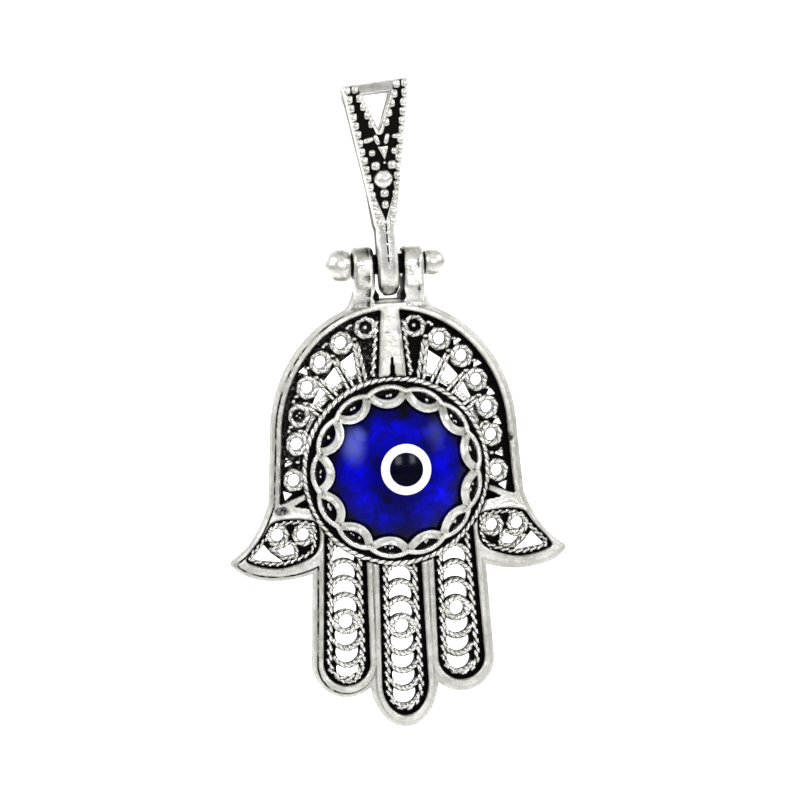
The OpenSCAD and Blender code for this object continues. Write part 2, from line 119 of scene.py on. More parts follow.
RINGS = np.array([
    [0.198, 0.843], [0.401, 0.761], [0.574, 0.654], [0.688, 0.511],
    [0.766, 0.349], [0.792, 0.184], [0.827, -0.026]
]) * [HALF_PALM, ARCH_TOP]
RIM_GAPS = np.array([
    [0.344, 0.845], [0.544, 0.743], [0.702, 0.606], [0.805, 0.431],
    [0.852, 0.259], [0.863, 0.076], [0.884, -0.115]
]) * [HALF_PALM, ARCH_TOP]
RING_OPEN = {1: [0, 1, 1, 1, 1, 1, 1], -1: [0, 1, 1, 1, 0, 1, 1]}
GAP_OPEN = {1: [0, 1, 1, 1, 1, 1, 1], -1: [0, 0, 1, 0, 0, 1, 1]}
LEAF_FEET = np.radians([72, 64, 53, 40, 22])
LEAF_TIPS = 0.93 * (RINGS[:5] + RINGS[1:6]) / 2
LEAF_SPREAD = math.radians(1.9)
LEAF_ASIDE = 0.13
# What lies in a closed ring: one ball in the uppermost, three crumbs in the others
ONE_BALL = [(0, 0, 0.24)]
CRUMBS = [(0.1, 0.2, 0.13), (-0.14, -0.02, 0.15), (0.12, -0.2, 0.12)]

# A finger: place, length of its hollow, height of its round end, level of the full ring as a
# share of the length, openings above and below that ring, and their pitch
FINGERS = [
    (-4.6, 16.85, 1.0, 0.7, 4, 3, 1.0),
    (0.0, 19.45, 1.4, 0.638, 3, 4, 1.03),
    (4.6, 16.85, 1.0, 0.664, 3, 3, 1.06),
]
FINGER_W = 3.74
FULL_RING_R = HOLE_R * 1.15

# The thumb's hollow and openings, as shares counted out from the finger and down
THUMB_NEAR = np.array([COLLAR_R * 0.83, -3.3])
THUMB_FAR = np.array([12.6, -7.37])
THUMB_HOLLOW = [
    [0.6, 0], [0.05, 0.04], [0, 0.23], [0.02, 0.69], [0.23, 0.88],
    [0.55, 1], [0.87, 0.88], [0.985, 0.77], [0.7, 0.3]
]
THUMB_RINGS = [[0.53, 0.333], [0.207, 0.345]]
THUMB_HEART = [
    [0.58, 0.59], [0.48, 0.575], [0.38, 0.5], [0.33, 0.59], [0.32, 0.72], [0.46, 0.75]
]
THUMB_CORNER = [[0.71, 0.5], [0.88, 0.79], [0.45, 0.88], [0.61, 0.69]]
THUMB_SLIT = [[0.16, 0.72], [0.27, 0.78], [0.26, 0.85], [0.18, 0.83]]

# The bail, from the pin's axis up
RING_OUT_R = 2.53
RING_HALF_W = 0.8
BAIL_TOP = 14.5
TOP_BAND = 14.2
BAIL_HALF_W = 2.72
WIDEN_Z = 2.8
BEND_Z = 12.9
BEND_Y = 1.6
BEND_OUT_R = 1.6
BEND_IN_R = 0.8
LOOP_FOOT_Z = 4.4
LOOP_FOOT_R = 1.776
BORE_R = 0.92
LEAN = math.radians(2.97)
WINDOW_FOOT = 10.51
WINDOW_TOP = 13.38
WINDOW_HALF_W = 1.09
# Its bars, ovals and balls within the rows: place across and up, half width, half height, and
# degrees of lean
BARS_AND_BALLS = [
    (-0.93, 9.86, 0.44, 0.24, 12), (1.42, 9.95, 0.5, 0.22, 0), (-0.27, 9.82, 0.21, 0.46, 17),
    (0.52, 9.82, 0.21, 0.46, -17), (-0.7, 8.82, 0.29, 0.29, 0), (1.05, 8.82, 0.29, 0.3, 0),
    (-0.5, 7.8, 0.39, 0.39, 0), (0.78, 7.76, 0.37, 0.39, 0), (0.23, 7.98, 0.12, 0.12, 0),
    (0.03, 5.6, 0.38, 0.36, 0), (0.03, 4.72, 0.3, 0.36, 0)
]
# How the bail has come to rest in the play of its hinge: turned, leaned, and drawn up at the right
TURN = math.radians(3.5)
TILT = math.radians(2.1)
SKEW = 0.07

# How high up a bead's foot is black, as the sine of the height
DARK_FOOT = 0.1

# The hinge, as distances from the pin's axis and from the middle between the ears
EAR_X = 1.97
EAR_HALF_W = 0.84
EAR_R = 1.45
EAR_BORE_R = 0.83
EAR_FOOT = 3.4
PIN_R = 0.8
BALL_FACE = 3.01
LEFT_BALL = (-3.777, 1.37)
RIGHT_BALL = (3.648, 1.14)


def on_hand(across, up, high):
    """Row frame of a point of the hand: (across, back - high, eye + up)."""
    return np.stack([across, BACK_Y - high, EYE_Z + up], axis=-1) * MM


def settled(x, y, z):
    """Row frame of a bail's point given from the pin's middle: turned by TURN round the upright,
    raised by SKEW times its distance to the right, and leaned by TILT to the left."""
    x, y = x * math.cos(TURN) + y * math.sin(TURN), y * math.cos(TURN) - x * math.sin(TURN)
    z = z + SKEW * x * np.clip(z / BAIL_TOP, 0, 1)
    x, z = x * math.cos(TILT) - z * math.sin(TILT), z * math.cos(TILT) + x * math.sin(TILT)
    return np.stack([x, y, PIN_Z + z], axis=-1) * MM


def on_bail(across, up, out):
    """Row frame of a point of the bail's front, settled: (across, -out, up)."""
    return settled(across, -out, up)


def on_bail_back(across, up, out):
    """The same point turned half round the upright axis first."""
    return settled(-across, out, up)


def on_pin(back, up, right):
    """Row frame of a point given round the hinge pin: (right, back, pin + up)."""
    return np.stack([right, back, PIN_Z + up], axis=-1) * MM


def new_object(name, data):
    """An object of its own for a mesh, a lamp or a camera."""
    obj = bpy.data.objects.new(name, data)
    bpy.context.collection.objects.link(obj)
    return obj


def make_piece(name, parts, finish, body="hand", stands_for=(), crease=40):
    """One object from parts, each a set of points, groups of faces and a share of oxide at
    each point. Edges that turn by more than crease degrees stay sharp."""
    points = np.concatenate([part[0] for part in parts])
    oxide_and_shade = np.concatenate([part[2] for part in parts])
    firsts = np.cumsum([0] + [len(part[0]) for part in parts])
    faces = []
    for part, first in zip(parts, firsts):
        for group in part[1]:
            faces += (group + first).tolist()
    mesh = bpy.data.meshes.new(name)
    mesh.from_pydata(points.tolist(), [], faces)
    oxide_and_shade_shares = mesh.attributes.new("oxide_and_shade", "FLOAT", "POINT")
    oxide_and_shade_shares.data.foreach_set("value", oxide_and_shade.astype(np.float32))
    mesh.polygons.foreach_set("use_smooth", np.ones(len(faces), bool))
    mesh.set_sharp_from_angle(angle=math.radians(crease))
    mesh.materials.append(finish)
    obj = new_object(name, mesh)
    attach(obj, body)
    if stands_for:
        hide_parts(*stands_for)
    return obj


def mark(obj, name, values):
    """Keep a number for each point of a piece, for its material to read."""
    kept = obj.data.attributes.new(name, "FLOAT", "POINT")
    kept.data.foreach_set("value", np.asarray(values, np.float32))


def curve_over(corners, n):
    """Bezier curve over its corner points: the sum of binomial(m, k) (1 - t)^(m - k) t^k corner k."""
    t = np.linspace(0, 1, n + 1)[1:, None]
    m = len(corners) - 1
    return sum(
        math.comb(m, k) * (1 - t) ** (m - k) * t ** k * np.array(c)
        for k, c in enumerate(corners)
    )


def polar(radius, angle):
    """Points at a radius and an angle round the middle of the eye."""
    return np.stack(np.broadcast_arrays(radius * np.cos(angle), radius * np.sin(angle)), axis=-1)


def both_halves(half):
    """An outline of the right half from the middle down, closed by its mirror image."""
    other = half[::-1] * [-1, 1]
    return np.vstack([half, other[other[:, 0] < -1e-9]])


def arch(inset):
    """Half ellipse of the palm's arch, moved in: ((w - inset) cos a, s + (h - inset) sin a)."""
    a = np.linspace(math.pi / 2, 0, 49)
    return np.stack([(HALF_PALM - inset) * np.cos(a), SPRING_H + (ARCH_H - inset) * np.sin(a)], -1)


def palm_outline():
    """Arch, shoulder, a curve out to the thumb's round tip, and a curve back to the finger."""
    tip_top = TIP + polar(TIP_R, math.radians(60))
    tip_foot = TIP + polar(TIP_R, math.radians(-55))
    root = np.array([FINGERS[-1][0] + FINGER_W / 2, THUMB_FOOT * 0.92])
    reach = TIP[0] - root[0]
    return both_halves(np.vstack([
        arch(0),
        SHOULDER,
        curve_over([SHOULDER, SHOULDER + [0.37, 0.75] * (tip_top - SHOULDER), tip_top], 16),
        TIP + polar(TIP_R, np.radians([45, 25, 5, -15, -35])),
        tip_foot,
        curve_over([tip_foot, [TIP[0] - 0.12 * reach, THUMB_FOOT],
                    [TIP[0] - 0.6 * reach, THUMB_FOOT * 1.06], root], 24),
        [0, root[1]],
    ]))


def finger_outline(finger, inset, foot=0.0):
    """Straight sides from the knuckle, closed by half an ellipse at the tip."""
    place, length, end = finger[:3]
    tip_r = FINGER_W / 2 - inset
    neck_r = FINGER_W * 0.44 - inset
    low = -length + inset - foot
    a = np.linspace(0, -math.pi, 41)
    round_end = np.stack(
        [place + tip_r * np.cos(a), low + tip_r * end * (1 + np.sin(a))], axis=-1)
    return np.vstack([
        [place * 0.94 + neck_r, -COLLAR_R * 0.6], round_end, [place * 0.94 - neck_r, -COLLAR_R * 0.6]
    ])


def thumb_points(shares, side):
    """Points in a thumb's hollow from their shares, mirrored on the left side."""
    return (THUMB_NEAR + np.array(shares) * (THUMB_FAR - THUMB_NEAR)) * [side, 1]


def softened(corners):
    """A closed outline with its corners rounded: a Bezier curve from each side's middle, over
    the corner, to the next side's middle."""
    corners = np.asarray(corners, float)
    before, after = (np.roll(corners, 1, 0) + corners) / 2, (np.roll(corners, -1, 0) + corners) / 2
    return np.vstack([curve_over([p, q, r], 6) for p, q, r in zip(before, corners, after)])


def signed(outline, a, b):
    """Distance from each point (a, b) to the nearest edge of a closed outline, above zero inside:
    |p - p1 - clip((p - p1).e / e.e, 0, 1) e| for each edge e, its sign from counted crossings."""
    flat = np.stack([a.ravel(), b.ravel()], -1)
    p1 = np.asarray(outline, float)
    p2 = np.roll(p1, -1, axis=0)
    edge = p2 - p1
    margin = 1.2
    near = np.all((flat > p1.min(0) - margin) & (flat < p1.max(0) + margin), axis=1)
    found = np.full(len(flat), -margin)
    pieces = []
    for block in np.array_split(flat[near], max(1, near.sum() // 6000)):
        to_p = block[:, None, :] - p1[None]
        share = np.clip((to_p * edge).sum(-1) / np.maximum((edge ** 2).sum(-1), 1e-12), 0, 1)
        gap = np.hypot(*(to_p - share[..., None] * edge).transpose(2, 0, 1)).min(1)
        above1 = p1[:, 1] > block[:, 1:2]
        above2 = p2[:, 1] > block[:, 1:2]
        rise = np.where(edge[:, 1] == 0, 1e-12, edge[:, 1])
        cross_at = p1[:, 0] + edge[:, 0] * (block[:, 1:2] - p1[:, 1]) / rise
        odd = ((above1 != above2) & (block[:, :1] < cross_at)).sum(1) % 2 == 1
        pieces.append(np.where(odd, gap, -gap))
    found[near] = np.concatenate(pieces)
    return found.reshape(a.shape)


def disc(centre, radius, a, b):
    """Signed distance to a circle: radius - |p - centre|."""
    return radius - np.hypot(a - centre[0], b - centre[1])


def plate(a_axis, b_axis, field, top, bottom, place, shade, lip=0.12):
    """A plate over every point of a grid where field is above zero, trimmed where it is zero
    by straight interpolation. Its faces lie at top(a, b, f) and bottom(a, b, f), f being the
    field, and a wall joins them, with a line of points lip below the top. place turns
    (a, b, height) into the row frame, and shade(level, a, b, f) gives the oxide on level 0, the
    top, level 1, the lip, and level 2, the bottom."""
    a, b = np.meshgrid(a_axis, b_axis)
    inside = field > 0
    count = 0

    def numbered(mask):
        """The places of a mask numbered on from those before, and -1 where it is false."""
        nonlocal count
        ids = np.full(mask.shape, -1)
        ids[mask] = count + np.arange(mask.sum())
        count += int(mask.sum())
        return ids

    node = numbered(inside)
    across = numbered(inside[:, :-1] != inside[:, 1:])
    upward = numbered(inside[:-1] != inside[1:])
    m_a, m_u = across >= 0, upward >= 0
    t_a = (field[:, :-1] / (field[:, :-1] - field[:, 1:] + (~m_a)))[m_a].clip(0.03, 0.97)
    t_u = (field[:-1] / (field[:-1] - field[1:] + (~m_u)))[m_u].clip(0.03, 0.97)
    pa = np.concatenate([a[inside], (a[:, :-1])[m_a] + t_a * np.diff(a, axis=1)[m_a], a[:-1][m_u]])
    pb = np.concatenate([b[inside], (b[:, :-1])[m_a], b[:-1][m_u] + t_u * np.diff(b, axis=0)[m_u]])
    pf = np.concatenate([field[inside], np.zeros(m_a.sum() + m_u.sum())])

    cell = np.stack([
        node[:-1, :-1], across[:-1], node[:-1, 1:], upward[:, 1:],
        node[1:, 1:], across[1:], node[1:, :-1], upward[:, :-1]
    ])
    code = sum((inside[i, j].astype(int) << k) for k, (i, j) in enumerate([
        (slice(None, -1), slice(None, -1)), (slice(None, -1), slice(1, None)),
        (slice(1, None), slice(1, None)), (slice(1, None), slice(None, -1))]))
    faces, walls = [], []
    for case in range(1, 16):
        bit = [(case >> k) & 1 for k in range(4)]
        order = [q for q in range(8)
                 if (bit[q // 2] if q % 2 == 0 else bit[q // 2] != bit[(q // 2 + 1) % 4])]
        group = cell[order][:, code == case].T
        if len(group) == 0:
            continue
        faces.append(group)
        for k, q in enumerate(order):
            after = (k + 1) % len(order)
            if q % 2 == 1 and order[after] % 2 == 1:
                walls.append(group[:, [k, after]])
    wall = np.vstack(walls)
    rim_ids = np.unique(wall)
    lip_of = np.full(count, -1)
    lip_of[rim_ids] = 2 * count + np.arange(len(rim_ids))
    high = top(pa, pb, pf)
    low = np.minimum(bottom(pa, pb, pf), high - 0.01)
    lip_h = np.maximum(high[rim_ids] - lip, low[rim_ids] + 0.005)
    points = np.concatenate([
        place(pa, pb, high), place(pa, pb, low), place(pa[rim_ids], pb[rim_ids], lip_h)
    ])
    p, q = wall.T
    groups = faces + [g[:, ::-1] + count for g in faces] + [
        np.stack([lip_of[p], lip_of[q], q, p], -1),
        np.stack([p + count, q + count, lip_of[q], lip_of[p]], -1),
    ]
    oxide_and_shade = np.concatenate([
        shade(0, pa, pb, pf), shade(2, pa, pb, pf), shade(1, pa[rim_ids], pb[rim_ids], pf[rim_ids])
    ])
    return points, groups, oxide_and_shade


def level_at(height):
    """The same height all over a plate."""
    return lambda a, b, f: height + 0 * f


def even_shade(top, lip, foot):
    """One share of oxide on a plate's top, one on the line below it and one on its bottom."""
    return lambda level, a, b, f: np.full_like(f, (top, lip, foot)[level])


def rounded(f, radius):
    """How far a rounded edge has dropped at distance f inside it: r - sqrt(r² - (r - f)²)."""
    back = np.clip(radius - f, 0, radius)
    return radius - np.sqrt(np.maximum(radius ** 2 - back ** 2, 0))


def evenly(path, gap, closed=False):
    """The same path with points at even distances of about gap, and their distances along it."""
    p = np.vstack([path, path[:1]]) if closed else np.asarray(path, float)
    run = np.concatenate([[0], np.cumsum(np.linalg.norm(np.diff(p, axis=0), axis=1))])
    n = max(6, int(round(run[-1] / gap)))
    s = np.linspace(0, run[-1], n + 1)[: n if closed else n + 1]
    return np.stack([np.interp(s, run, p[:, c]) for c in range(3)], -1), s, run[-1]


def carried(path, profile, closed=False):
    """A closed profile carried along a path: point k at step i lies at
    path[i] + right[i] * profile[i, k, 0] + high * profile[i, k, 1], where right is square to the
    path in the plane of the hand. Open ends are capped."""
    n, m = len(path), profile.shape[-2]
    ahead = np.roll(path, -1, 0) - np.roll(path, 1, 0) if closed else np.gradient(path, axis=0)
    flat = ahead[:, :2] / np.maximum(np.linalg.norm(ahead[:, :2], axis=1, keepdims=True), 1e-9)
    right = np.stack([flat[:, 1], -flat[:, 0]], -1)
    profile = np.broadcast_to(profile, (n, m, 2))
    a = path[:, None, 0] + right[:, None, 0] * profile[..., 0]
    b = path[:, None, 1] + right[:, None, 1] * profile[..., 0]
    h = path[:, None, 2] + profile[..., 1]
    i = np.arange(n if closed else n - 1)[:, None] * m
    k = np.arange(m)[None]
    j, l = (i + m) % (n * m), (k + 1) % m
    groups = [np.stack([i + k, j + k, j + l, i + l], -1).reshape(-1, 4)]
    if not closed:
        groups += [np.arange(m)[None], (n - 1) * m + np.arange(m)[::-1][None]]
    return on_hand(a, b, h).reshape(-1, 3), groups


def twisted_wire(path, kind, closed=False, turn=1, around=12, steps=8):
    """Two strands twisted together along a path, to the right or, with turn -1, to the left. At
    distance s along it and angle a round it the radius is
    radius * sqrt(full² + (1 - full²) cos²(a - turn pi s / lay)), and tall stretches it upwards.
    The oxide lies in the grooves, where cos² is under groove, and underneath."""
    radius, lay, full, tall, groove = WIRES[kind]
    path, s, length = evenly(path, lay / steps, closed)
    if closed:
        lay = length / max(1, round(length / lay))
    a = np.arange(around) * 2 * math.pi / around
    crown = np.cos(a[None] - turn * math.pi * s[:, None] / lay) ** 2
    r = radius * np.sqrt(full ** 2 + (1 - full ** 2) * crown)
    if not closed:
        end = np.minimum(s, length - s)[:, None] / radius
        r = r * np.sqrt(np.clip(1 - (1 - np.clip(end, 0, 1)) ** 2, 0.09, 1))
    points, groups = carried(path, np.stack([r * np.cos(a), r * np.sin(a) * tall], -1), closed)
    oxide_and_shade = np.maximum(np.clip(1 - crown / groove, 0, 1), np.clip(0.32 - 2.4 * np.sin(a), 0, 1))
    return points, groups, oxide_and_shade.ravel()


def between_poles(rows, count):
    """Faces of a round body whose points are rows of count points, and then its two poles."""
    j, k = np.arange(rows - 1)[:, None] * count, np.arange(count)[None]
    after = (k + 1) % count
    quads = np.stack([j + k, j + after, j + count + after, j + count + k], -1).reshape(-1, 4)
    k, after, last = k[0], after[0], (rows - 1) * count
    return [
        quads,
        np.stack([np.full(count, rows * count), after, k], -1),
        np.stack([np.full(count, rows * count + 1), last + k, last + after], -1),
    ]


def turned(profile, place, count, oxide_and_shade):
    """A profile of (radius, height) pairs turned round the height axis, from one pole to the
    other: (r cos a, r sin a, h). The poles are single points. oxide has a share for each pair."""
    profile = np.asarray(profile, float)
    a = np.arange(count) * 2 * math.pi / count
    r, h = profile[1:-1, 0, None], profile[1:-1, 1, None]
    body = place(*np.broadcast_arrays(r * np.cos(a), r * np.sin(a), h)).reshape(-1, 3)
    poles = place(np.zeros(2), np.zeros(2), profile[[0, -1], 1])
    oxide_and_shade_shares = np.concatenate([np.repeat(oxide_and_shade[1:-1], count), [oxide_and_shade[0], oxide_and_shade[-1]]])
    return np.concatenate([body, poles]), between_poles(len(profile) - 2, count), oxide_and_shade_shares


def bead(across, up, out, size, squareness, place, around=12, rows=7, lean=0.0):
    """A rounded cushion: the superellipsoid (A c(u) c(v), B c(u) s(v), C s(u)) with c and s
    the cosine and sine raised to squareness, its sign kept, leaned to the left by lean radians."""
    u = np.linspace(-math.pi / 2, math.pi / 2, rows + 2)[1:-1, None]
    v = (np.arange(around) * 2 * math.pi / around)[None]

    def soft(x):
        """x raised to squareness, its sign kept."""
        return np.sign(x) * np.abs(x) ** squareness

    a = size[0] * soft(np.cos(u)) * soft(np.cos(v))
    b = size[1] * soft(np.cos(u)) * soft(np.sin(v))
    a, b = across + a * math.cos(lean) - b * math.sin(lean), up + b * math.cos(lean) + a * math.sin(lean)
    h = out + size[2] * soft(np.sin(u)) + 0 * v
    poles = place(np.full(2, across), np.full(2, up), out + size[2] * np.array([-1.0, 1.0]))
    points = np.concatenate([place(a, b, h).reshape(-1, 3), poles])
    low = np.clip((DARK_FOOT - np.sin(u)) * 4, 0, 1) + 0 * v
    return points, between_poles(rows, around), np.concatenate([low.ravel(), [1, 0]])


def flat_path(points, high=WIRE_MID):
    """A path of the hand at one height, or at a height for each point."""
    points = np.asarray(points, float)
    return np.column_stack([points, np.broadcast_to(high, len(points))])


def circle_path(centre, radius, high=WIRE_MID, start=0.0, end=360.0, n=64):
    """Arc round a centre: centre + radius (cos a, sin a), from start to end in degrees."""
    a = np.radians(np.linspace(start, end, n + 1))
    if end - start >= 360:
        a = a[:-1]
    return flat_path(np.asarray(centre) + polar(radius, a), high)


def shader(name):
    """A new node material and its surface shader."""
    material = bpy.data.materials.new(name)
    material.use_nodes = True
    tree = material.node_tree
    surface = next(n for n in tree.nodes if n.type == "BSDF_PRINCIPLED")
    return material, tree, surface


def fill(tree, node, inputs):
    """Set a node's inputs to values, or link them to sockets."""
    for key, value in inputs.items():
        if isinstance(value, bpy.types.NodeSocket):
            tree.links.new(value, node.inputs[key])
        else:
            node.inputs[key].default_value = value
    return node


def add(tree, kind, inputs=None, **settings):
    """A shader node of a kind with its settings and its inputs."""
    node = tree.nodes.new("ShaderNode" + kind)
    for key, value in settings.items():
        setattr(node, key, value)
    return fill(tree, node, inputs or {})


def object_place(tree, centre=(0, 0, 0)):
    """Object coordinates in millimetres, counted from a centre given in millimetres."""
    return add(tree, "Mapping", {
        "Vector": add(tree, "TexCoord").outputs["Object"], "Scale": (1000, 1000, 1000),
        "Location": [-c for c in centre]
    }).outputs["Vector"]


def kept_mark(tree, name):
    """A number that the piece keeps for each of its points."""
    return add(tree, "Attribute", attribute_name=name).outputs["Fac"]


def noise(tree, spot, scale, detail, result="Fac", **more):
    """Noise over a place, of a scale and a number of finer layers."""
    inputs = {"Vector": spot, "Scale": scale, "Detail": detail, **more}
    return add(tree, "TexNoise", inputs).outputs[result]


def ramp(tree, value, stops, mode="LINEAR"):
    """A colour ramp over a value, its stops given as (place, colour) or (place, grey)."""
    node = add(tree, "ValToRGB", {"Fac": value})
    node.color_ramp.interpolation = mode
    while len(node.color_ramp.elements) < len(stops):
        node.color_ramp.elements.new(0.5)
    for element, (spot, colour) in zip(node.color_ramp.elements, stops):
        element.position = spot
        element.color = (*colour, 1) if isinstance(colour, tuple) else (colour, colour, colour, 1)
    return node.outputs["Color"]


def maths(tree, operation, a, b=0.0, clamp=False):
    """One arithmetic step between two values or sockets."""
    return add(tree, "Math", {0: a, 1: b}, operation=operation, use_clamp=clamp).outputs[0]


def times(tree, *factors):
    """Product of values and sockets."""
    return reduce(lambda a, b: maths(tree, "MULTIPLY", a, b), factors)


def plus(tree, *terms):
    """Sum of values and sockets."""
    return reduce(lambda a, b: maths(tree, "ADD", a, b), terms)


def highest(tree, *values):
    """The highest of values and sockets."""
    return reduce(lambda a, b: maths(tree, "MAXIMUM", a, b), values)


def vector(tree, operation, a, b=(0, 0, 0)):
    """One step between two vectors."""
    result = "Value" if operation in ("LENGTH", "DISTANCE") else "Vector"
    return add(tree, "VectorMath", {0: a, 1: b}, operation=operation).outputs[result]


def stretched(tree, value, low, high, first, last, blend="LINEAR"):
    """A value that goes from low to high turned into one that goes from first to last."""
    return add(tree, "MapRange", {
        "Value": value, "From Min": low, "From Max": high, "To Min": first, "To Max": last
    }, interpolation_type=blend).outputs["Result"]


def mixed(tree, share, first, second):
    """Two colours mixed by the share of the second."""
    return add(tree, "Mix", {0: share, 6: first, 7: second}, data_type="RGBA").outputs[2]


def raised(tree, height, strength, distance):
    """The normals of a surface with a height on it, a share of a distance in metres."""
    inputs = {"Height": height, "Strength": strength, "Distance": distance}
    return add(tree, "Bump", inputs).outputs["Normal"]


# Black of the patina, also used for the painted shade on the bail's sides and inside
OXIDE_AND_SHADE_BLACK = (0.008, 0.0075, 0.007, 1)


def antique_silver(name, tone, rough, pits, ripple=0.5, seam=0.0):
    """Polished silver that turns black where the piece's oxide_and_shade share is high, with black
    patina in the hollows and painted shade on the bail's sides and inside, a thin grey where it
    is low, cloudy stains, and small casting pits whose number follows a slow noise.
    Where the piece keeps its distance in from the outline as inset, a broken dark line runs at
    the distance seam, deepest on the left."""
    material, tree, surface = shader(name)
    spot = object_place(tree)
    # The kept share is patina in the hollows, and painted shade on the bail's sides and inside
    share = kept_mark(tree, "oxide_and_shade")
    cloud = noise(tree, spot, 0.9, 5, Roughness=0.6)
    fine = noise(tree, spot, 5.5, 4, Roughness=0.65)
    uneven = maths(tree, "SUBTRACT", fine, 0.5)
    specks = add(tree, "TexVoronoi", {"Vector": spot, "Scale": 4.2, "Randomness": 1.0})
    pit = maths(tree, "LESS_THAN", specks.outputs["Distance"], 0.13)
    rare = maths(tree, "GREATER_THAN", cloud, 0.62 - 0.1 * pits)
    pit = times(tree, pit, rare, min(1.0, pits * 1.3))
    mottled_oxide_and_shade = plus(tree, share, times(tree, uneven, 1.1, share))
    black = highest(tree, ramp(tree, mottled_oxide_and_shade, [(0.3, 0), (0.6, 1)], "EASE"), pit, times(tree, share, 0.8))
    if seam:
        wander = plus(tree, kept_mark(tree, "inset"), times(tree, uneven, 0.12))
        off_line = maths(tree, "ABSOLUTE", maths(tree, "SUBTRACT", wander, seam))
        line = maths(tree, "SUBTRACT", 1.6, maths(tree, "DIVIDE", off_line, 0.07), clamp=True)
        here = ramp(tree, cloud, [(0.38, 0.35), (0.48, 1)])
        across = add(tree, "SeparateXYZ", {"Vector": spot}).outputs["X"]
        left = stretched(tree, across, -5.5, -1.0, 1.0, 0.3)
        black = highest(tree, black, times(tree, line, here, left))
    stained = plus(tree, times(tree, cloud, 0.7), times(tree, fine, 0.3))
    stain = ramp(tree, stained, [(0.38, (tone[0] * 0.66, tone[1] * 0.66, tone[2] * 0.63)), (0.58, tone)])
    dull = plus(tree, times(tree, black, 0.35), rough - 0.08, times(tree, cloud, 0.16))
    swell = noise(tree, spot, 1.7, 3)
    height = plus(tree, times(tree, swell, 0.7), times(tree, fine, 0.3))
    height = maths(tree, "SUBTRACT", height, times(tree, pit, 0.5))
    fill(tree, surface, {
        "Base Color": mixed(tree, black, stain, OXIDE_AND_SHADE_BLACK), "Metallic": 1.0, "Roughness": dull,
        "Normal": raised(tree, height, ripple, 0.00012)
    })
    return material


def pool(tree, spot, centre, size, tall=1.0):
    """A soft round share: 1 at a place of the glass's face, 0 from the distance size on, and
    from tall times that distance upwards and downwards."""
    shape = vector(tree, "MULTIPLY", spot, (1, 0, 1 / tall))
    far = vector(tree, "DISTANCE", shape, (centre[0], 0, centre[1] / tall))
    return stretched(tree, far, size, 0.0, 0.0, 1.0, "SMOOTHSTEP")


GLASS_IOR = 1.5
# Where the glass is deeper or paler than around: place across and up, size, and how much
GLASS_POOLS = [
    (-1.0, -1.8, 2.2, -0.75), (0.4, 4.9, 1.8, -0.9), (-3.0, 4.3, 1.3, -0.6), (0.0, -4.4, 2.2, -0.7),
    (4.5, -1.5, 1.3, -0.7), (2.3, 2.5, 1.3, -0.55), (-2.0, 1.0, 1.0, -0.5), (-4.2, 0.6, 1.7, 0.7),
    (-0.4, 3.4, 1.6, 0.5), (3.0, -1.8, 1.9, 0.9), (3.3, 0.7, 1.2, 0.4), (-3.2, -1.9, 1.5, 0.3),
    (4.6, 1.8, 1.0, 0.6)
]
# Painted reflections of the softboxes, as pale clouds in the glass: place across and up, size, height over
# width, and share
PAINTED_REFLECTIONS = [(-3.6, 2.3, 1.25, 1.6, 0.4), (-3.2, 3.0, 0.85, 1.3, 0.4), (3.1, 3.2, 1.1, 1.3, 0.12)]


def cobalt_glass():
    """Blown glass of a deep blue that turns to navy and near black towards its edge, where the
    dark is painted shade, with paler and darker pools that swirl into each other, pale clouds
    that are painted reflections of the softboxes, and a smooth skin."""
    material, tree, surface = shader("cobalt_glass")
    spot = object_place(tree, (0, 0, EYE_Z))
    flat = vector(tree, "MULTIPLY", spot, (1, 0, 1))
    swirl = noise(tree, flat, 0.55, 4, "Color", Distortion=0.8)
    shift = vector(tree, "MULTIPLY", vector(tree, "SUBTRACT", swirl, (0.5, 0.5, 0.5)), (2.6, 0, 2.6))
    bent = vector(tree, "ADD", flat, shift)
    radius = times(tree, vector(tree, "LENGTH", flat), 0.8)
    reach = times(tree, vector(tree, "LENGTH", bent), 0.2)
    out_from_middle = maths(tree, "DIVIDE", plus(tree, radius, reach), GLASS_R)
    # Navy to near black at the edge is painted shade: the dark bezel seen in the glass's steep edge
    blue = ramp(tree, out_from_middle, [
        (0.0, (0.0, 0.0, 0.08)), (0.35, (0.0, 0.0, 0.16)), (0.6, (0.0, 0.0, 0.32)),
        (0.76, (0.0, 0.0, 0.16)), (0.86, (0.0005, 0.0, 0.012))
    ])
    bright = 1.0
    for across, up, size, change in GLASS_POOLS:
        bright = plus(tree, bright, times(tree, pool(tree, bent, (across, up), size), change))
    streaks = noise(tree, bent, 0.9, 3, Distortion=0.7)
    bright = highest(tree, times(tree, bright, stretched(tree, streaks, 0.35, 0.65, 0.55, 1.6)), 0.04)
    tinted = add(tree, "VectorMath", {0: blue, "Scale": bright}, operation="SCALE").outputs[0]
    # Painted reflections: the softboxes' pale clouds, mixed into the glass's colour as a pale blue below
    pale = 0.0
    for across, up, size, tall, share in PAINTED_REFLECTIONS:
        pale = highest(tree, pale, times(tree, pool(tree, flat, (across, up), size, tall), share))
    fill(tree, surface, {
        "Base Color": mixed(tree, pale, tinted, (0.16, 0.2, 0.86, 1)), "Roughness": 0.14, "IOR": GLASS_IOR,
        "Specular IOR Level": 0.06, "Normal": raised(tree, noise(tree, spot, 0.8, 2), 0.25, 0.0001)
    })
    return material


def inlay_glass(name, pale, dark, rough, cloud_scale):
    """Opaque glass for the ring and the pupil: two tones mixed by a soft noise."""
    material, tree, surface = shader(name)
    cloud = noise(tree, object_place(tree, (0, 0, EYE_Z)), cloud_scale, 4)
    fill(tree, surface, {
        "Base Color": ramp(tree, cloud, [(0.35, dark), (0.65, pale)]), "Roughness": rough,
        "IOR": GLASS_IOR, "Specular IOR Level": 0.07
    })
    return material


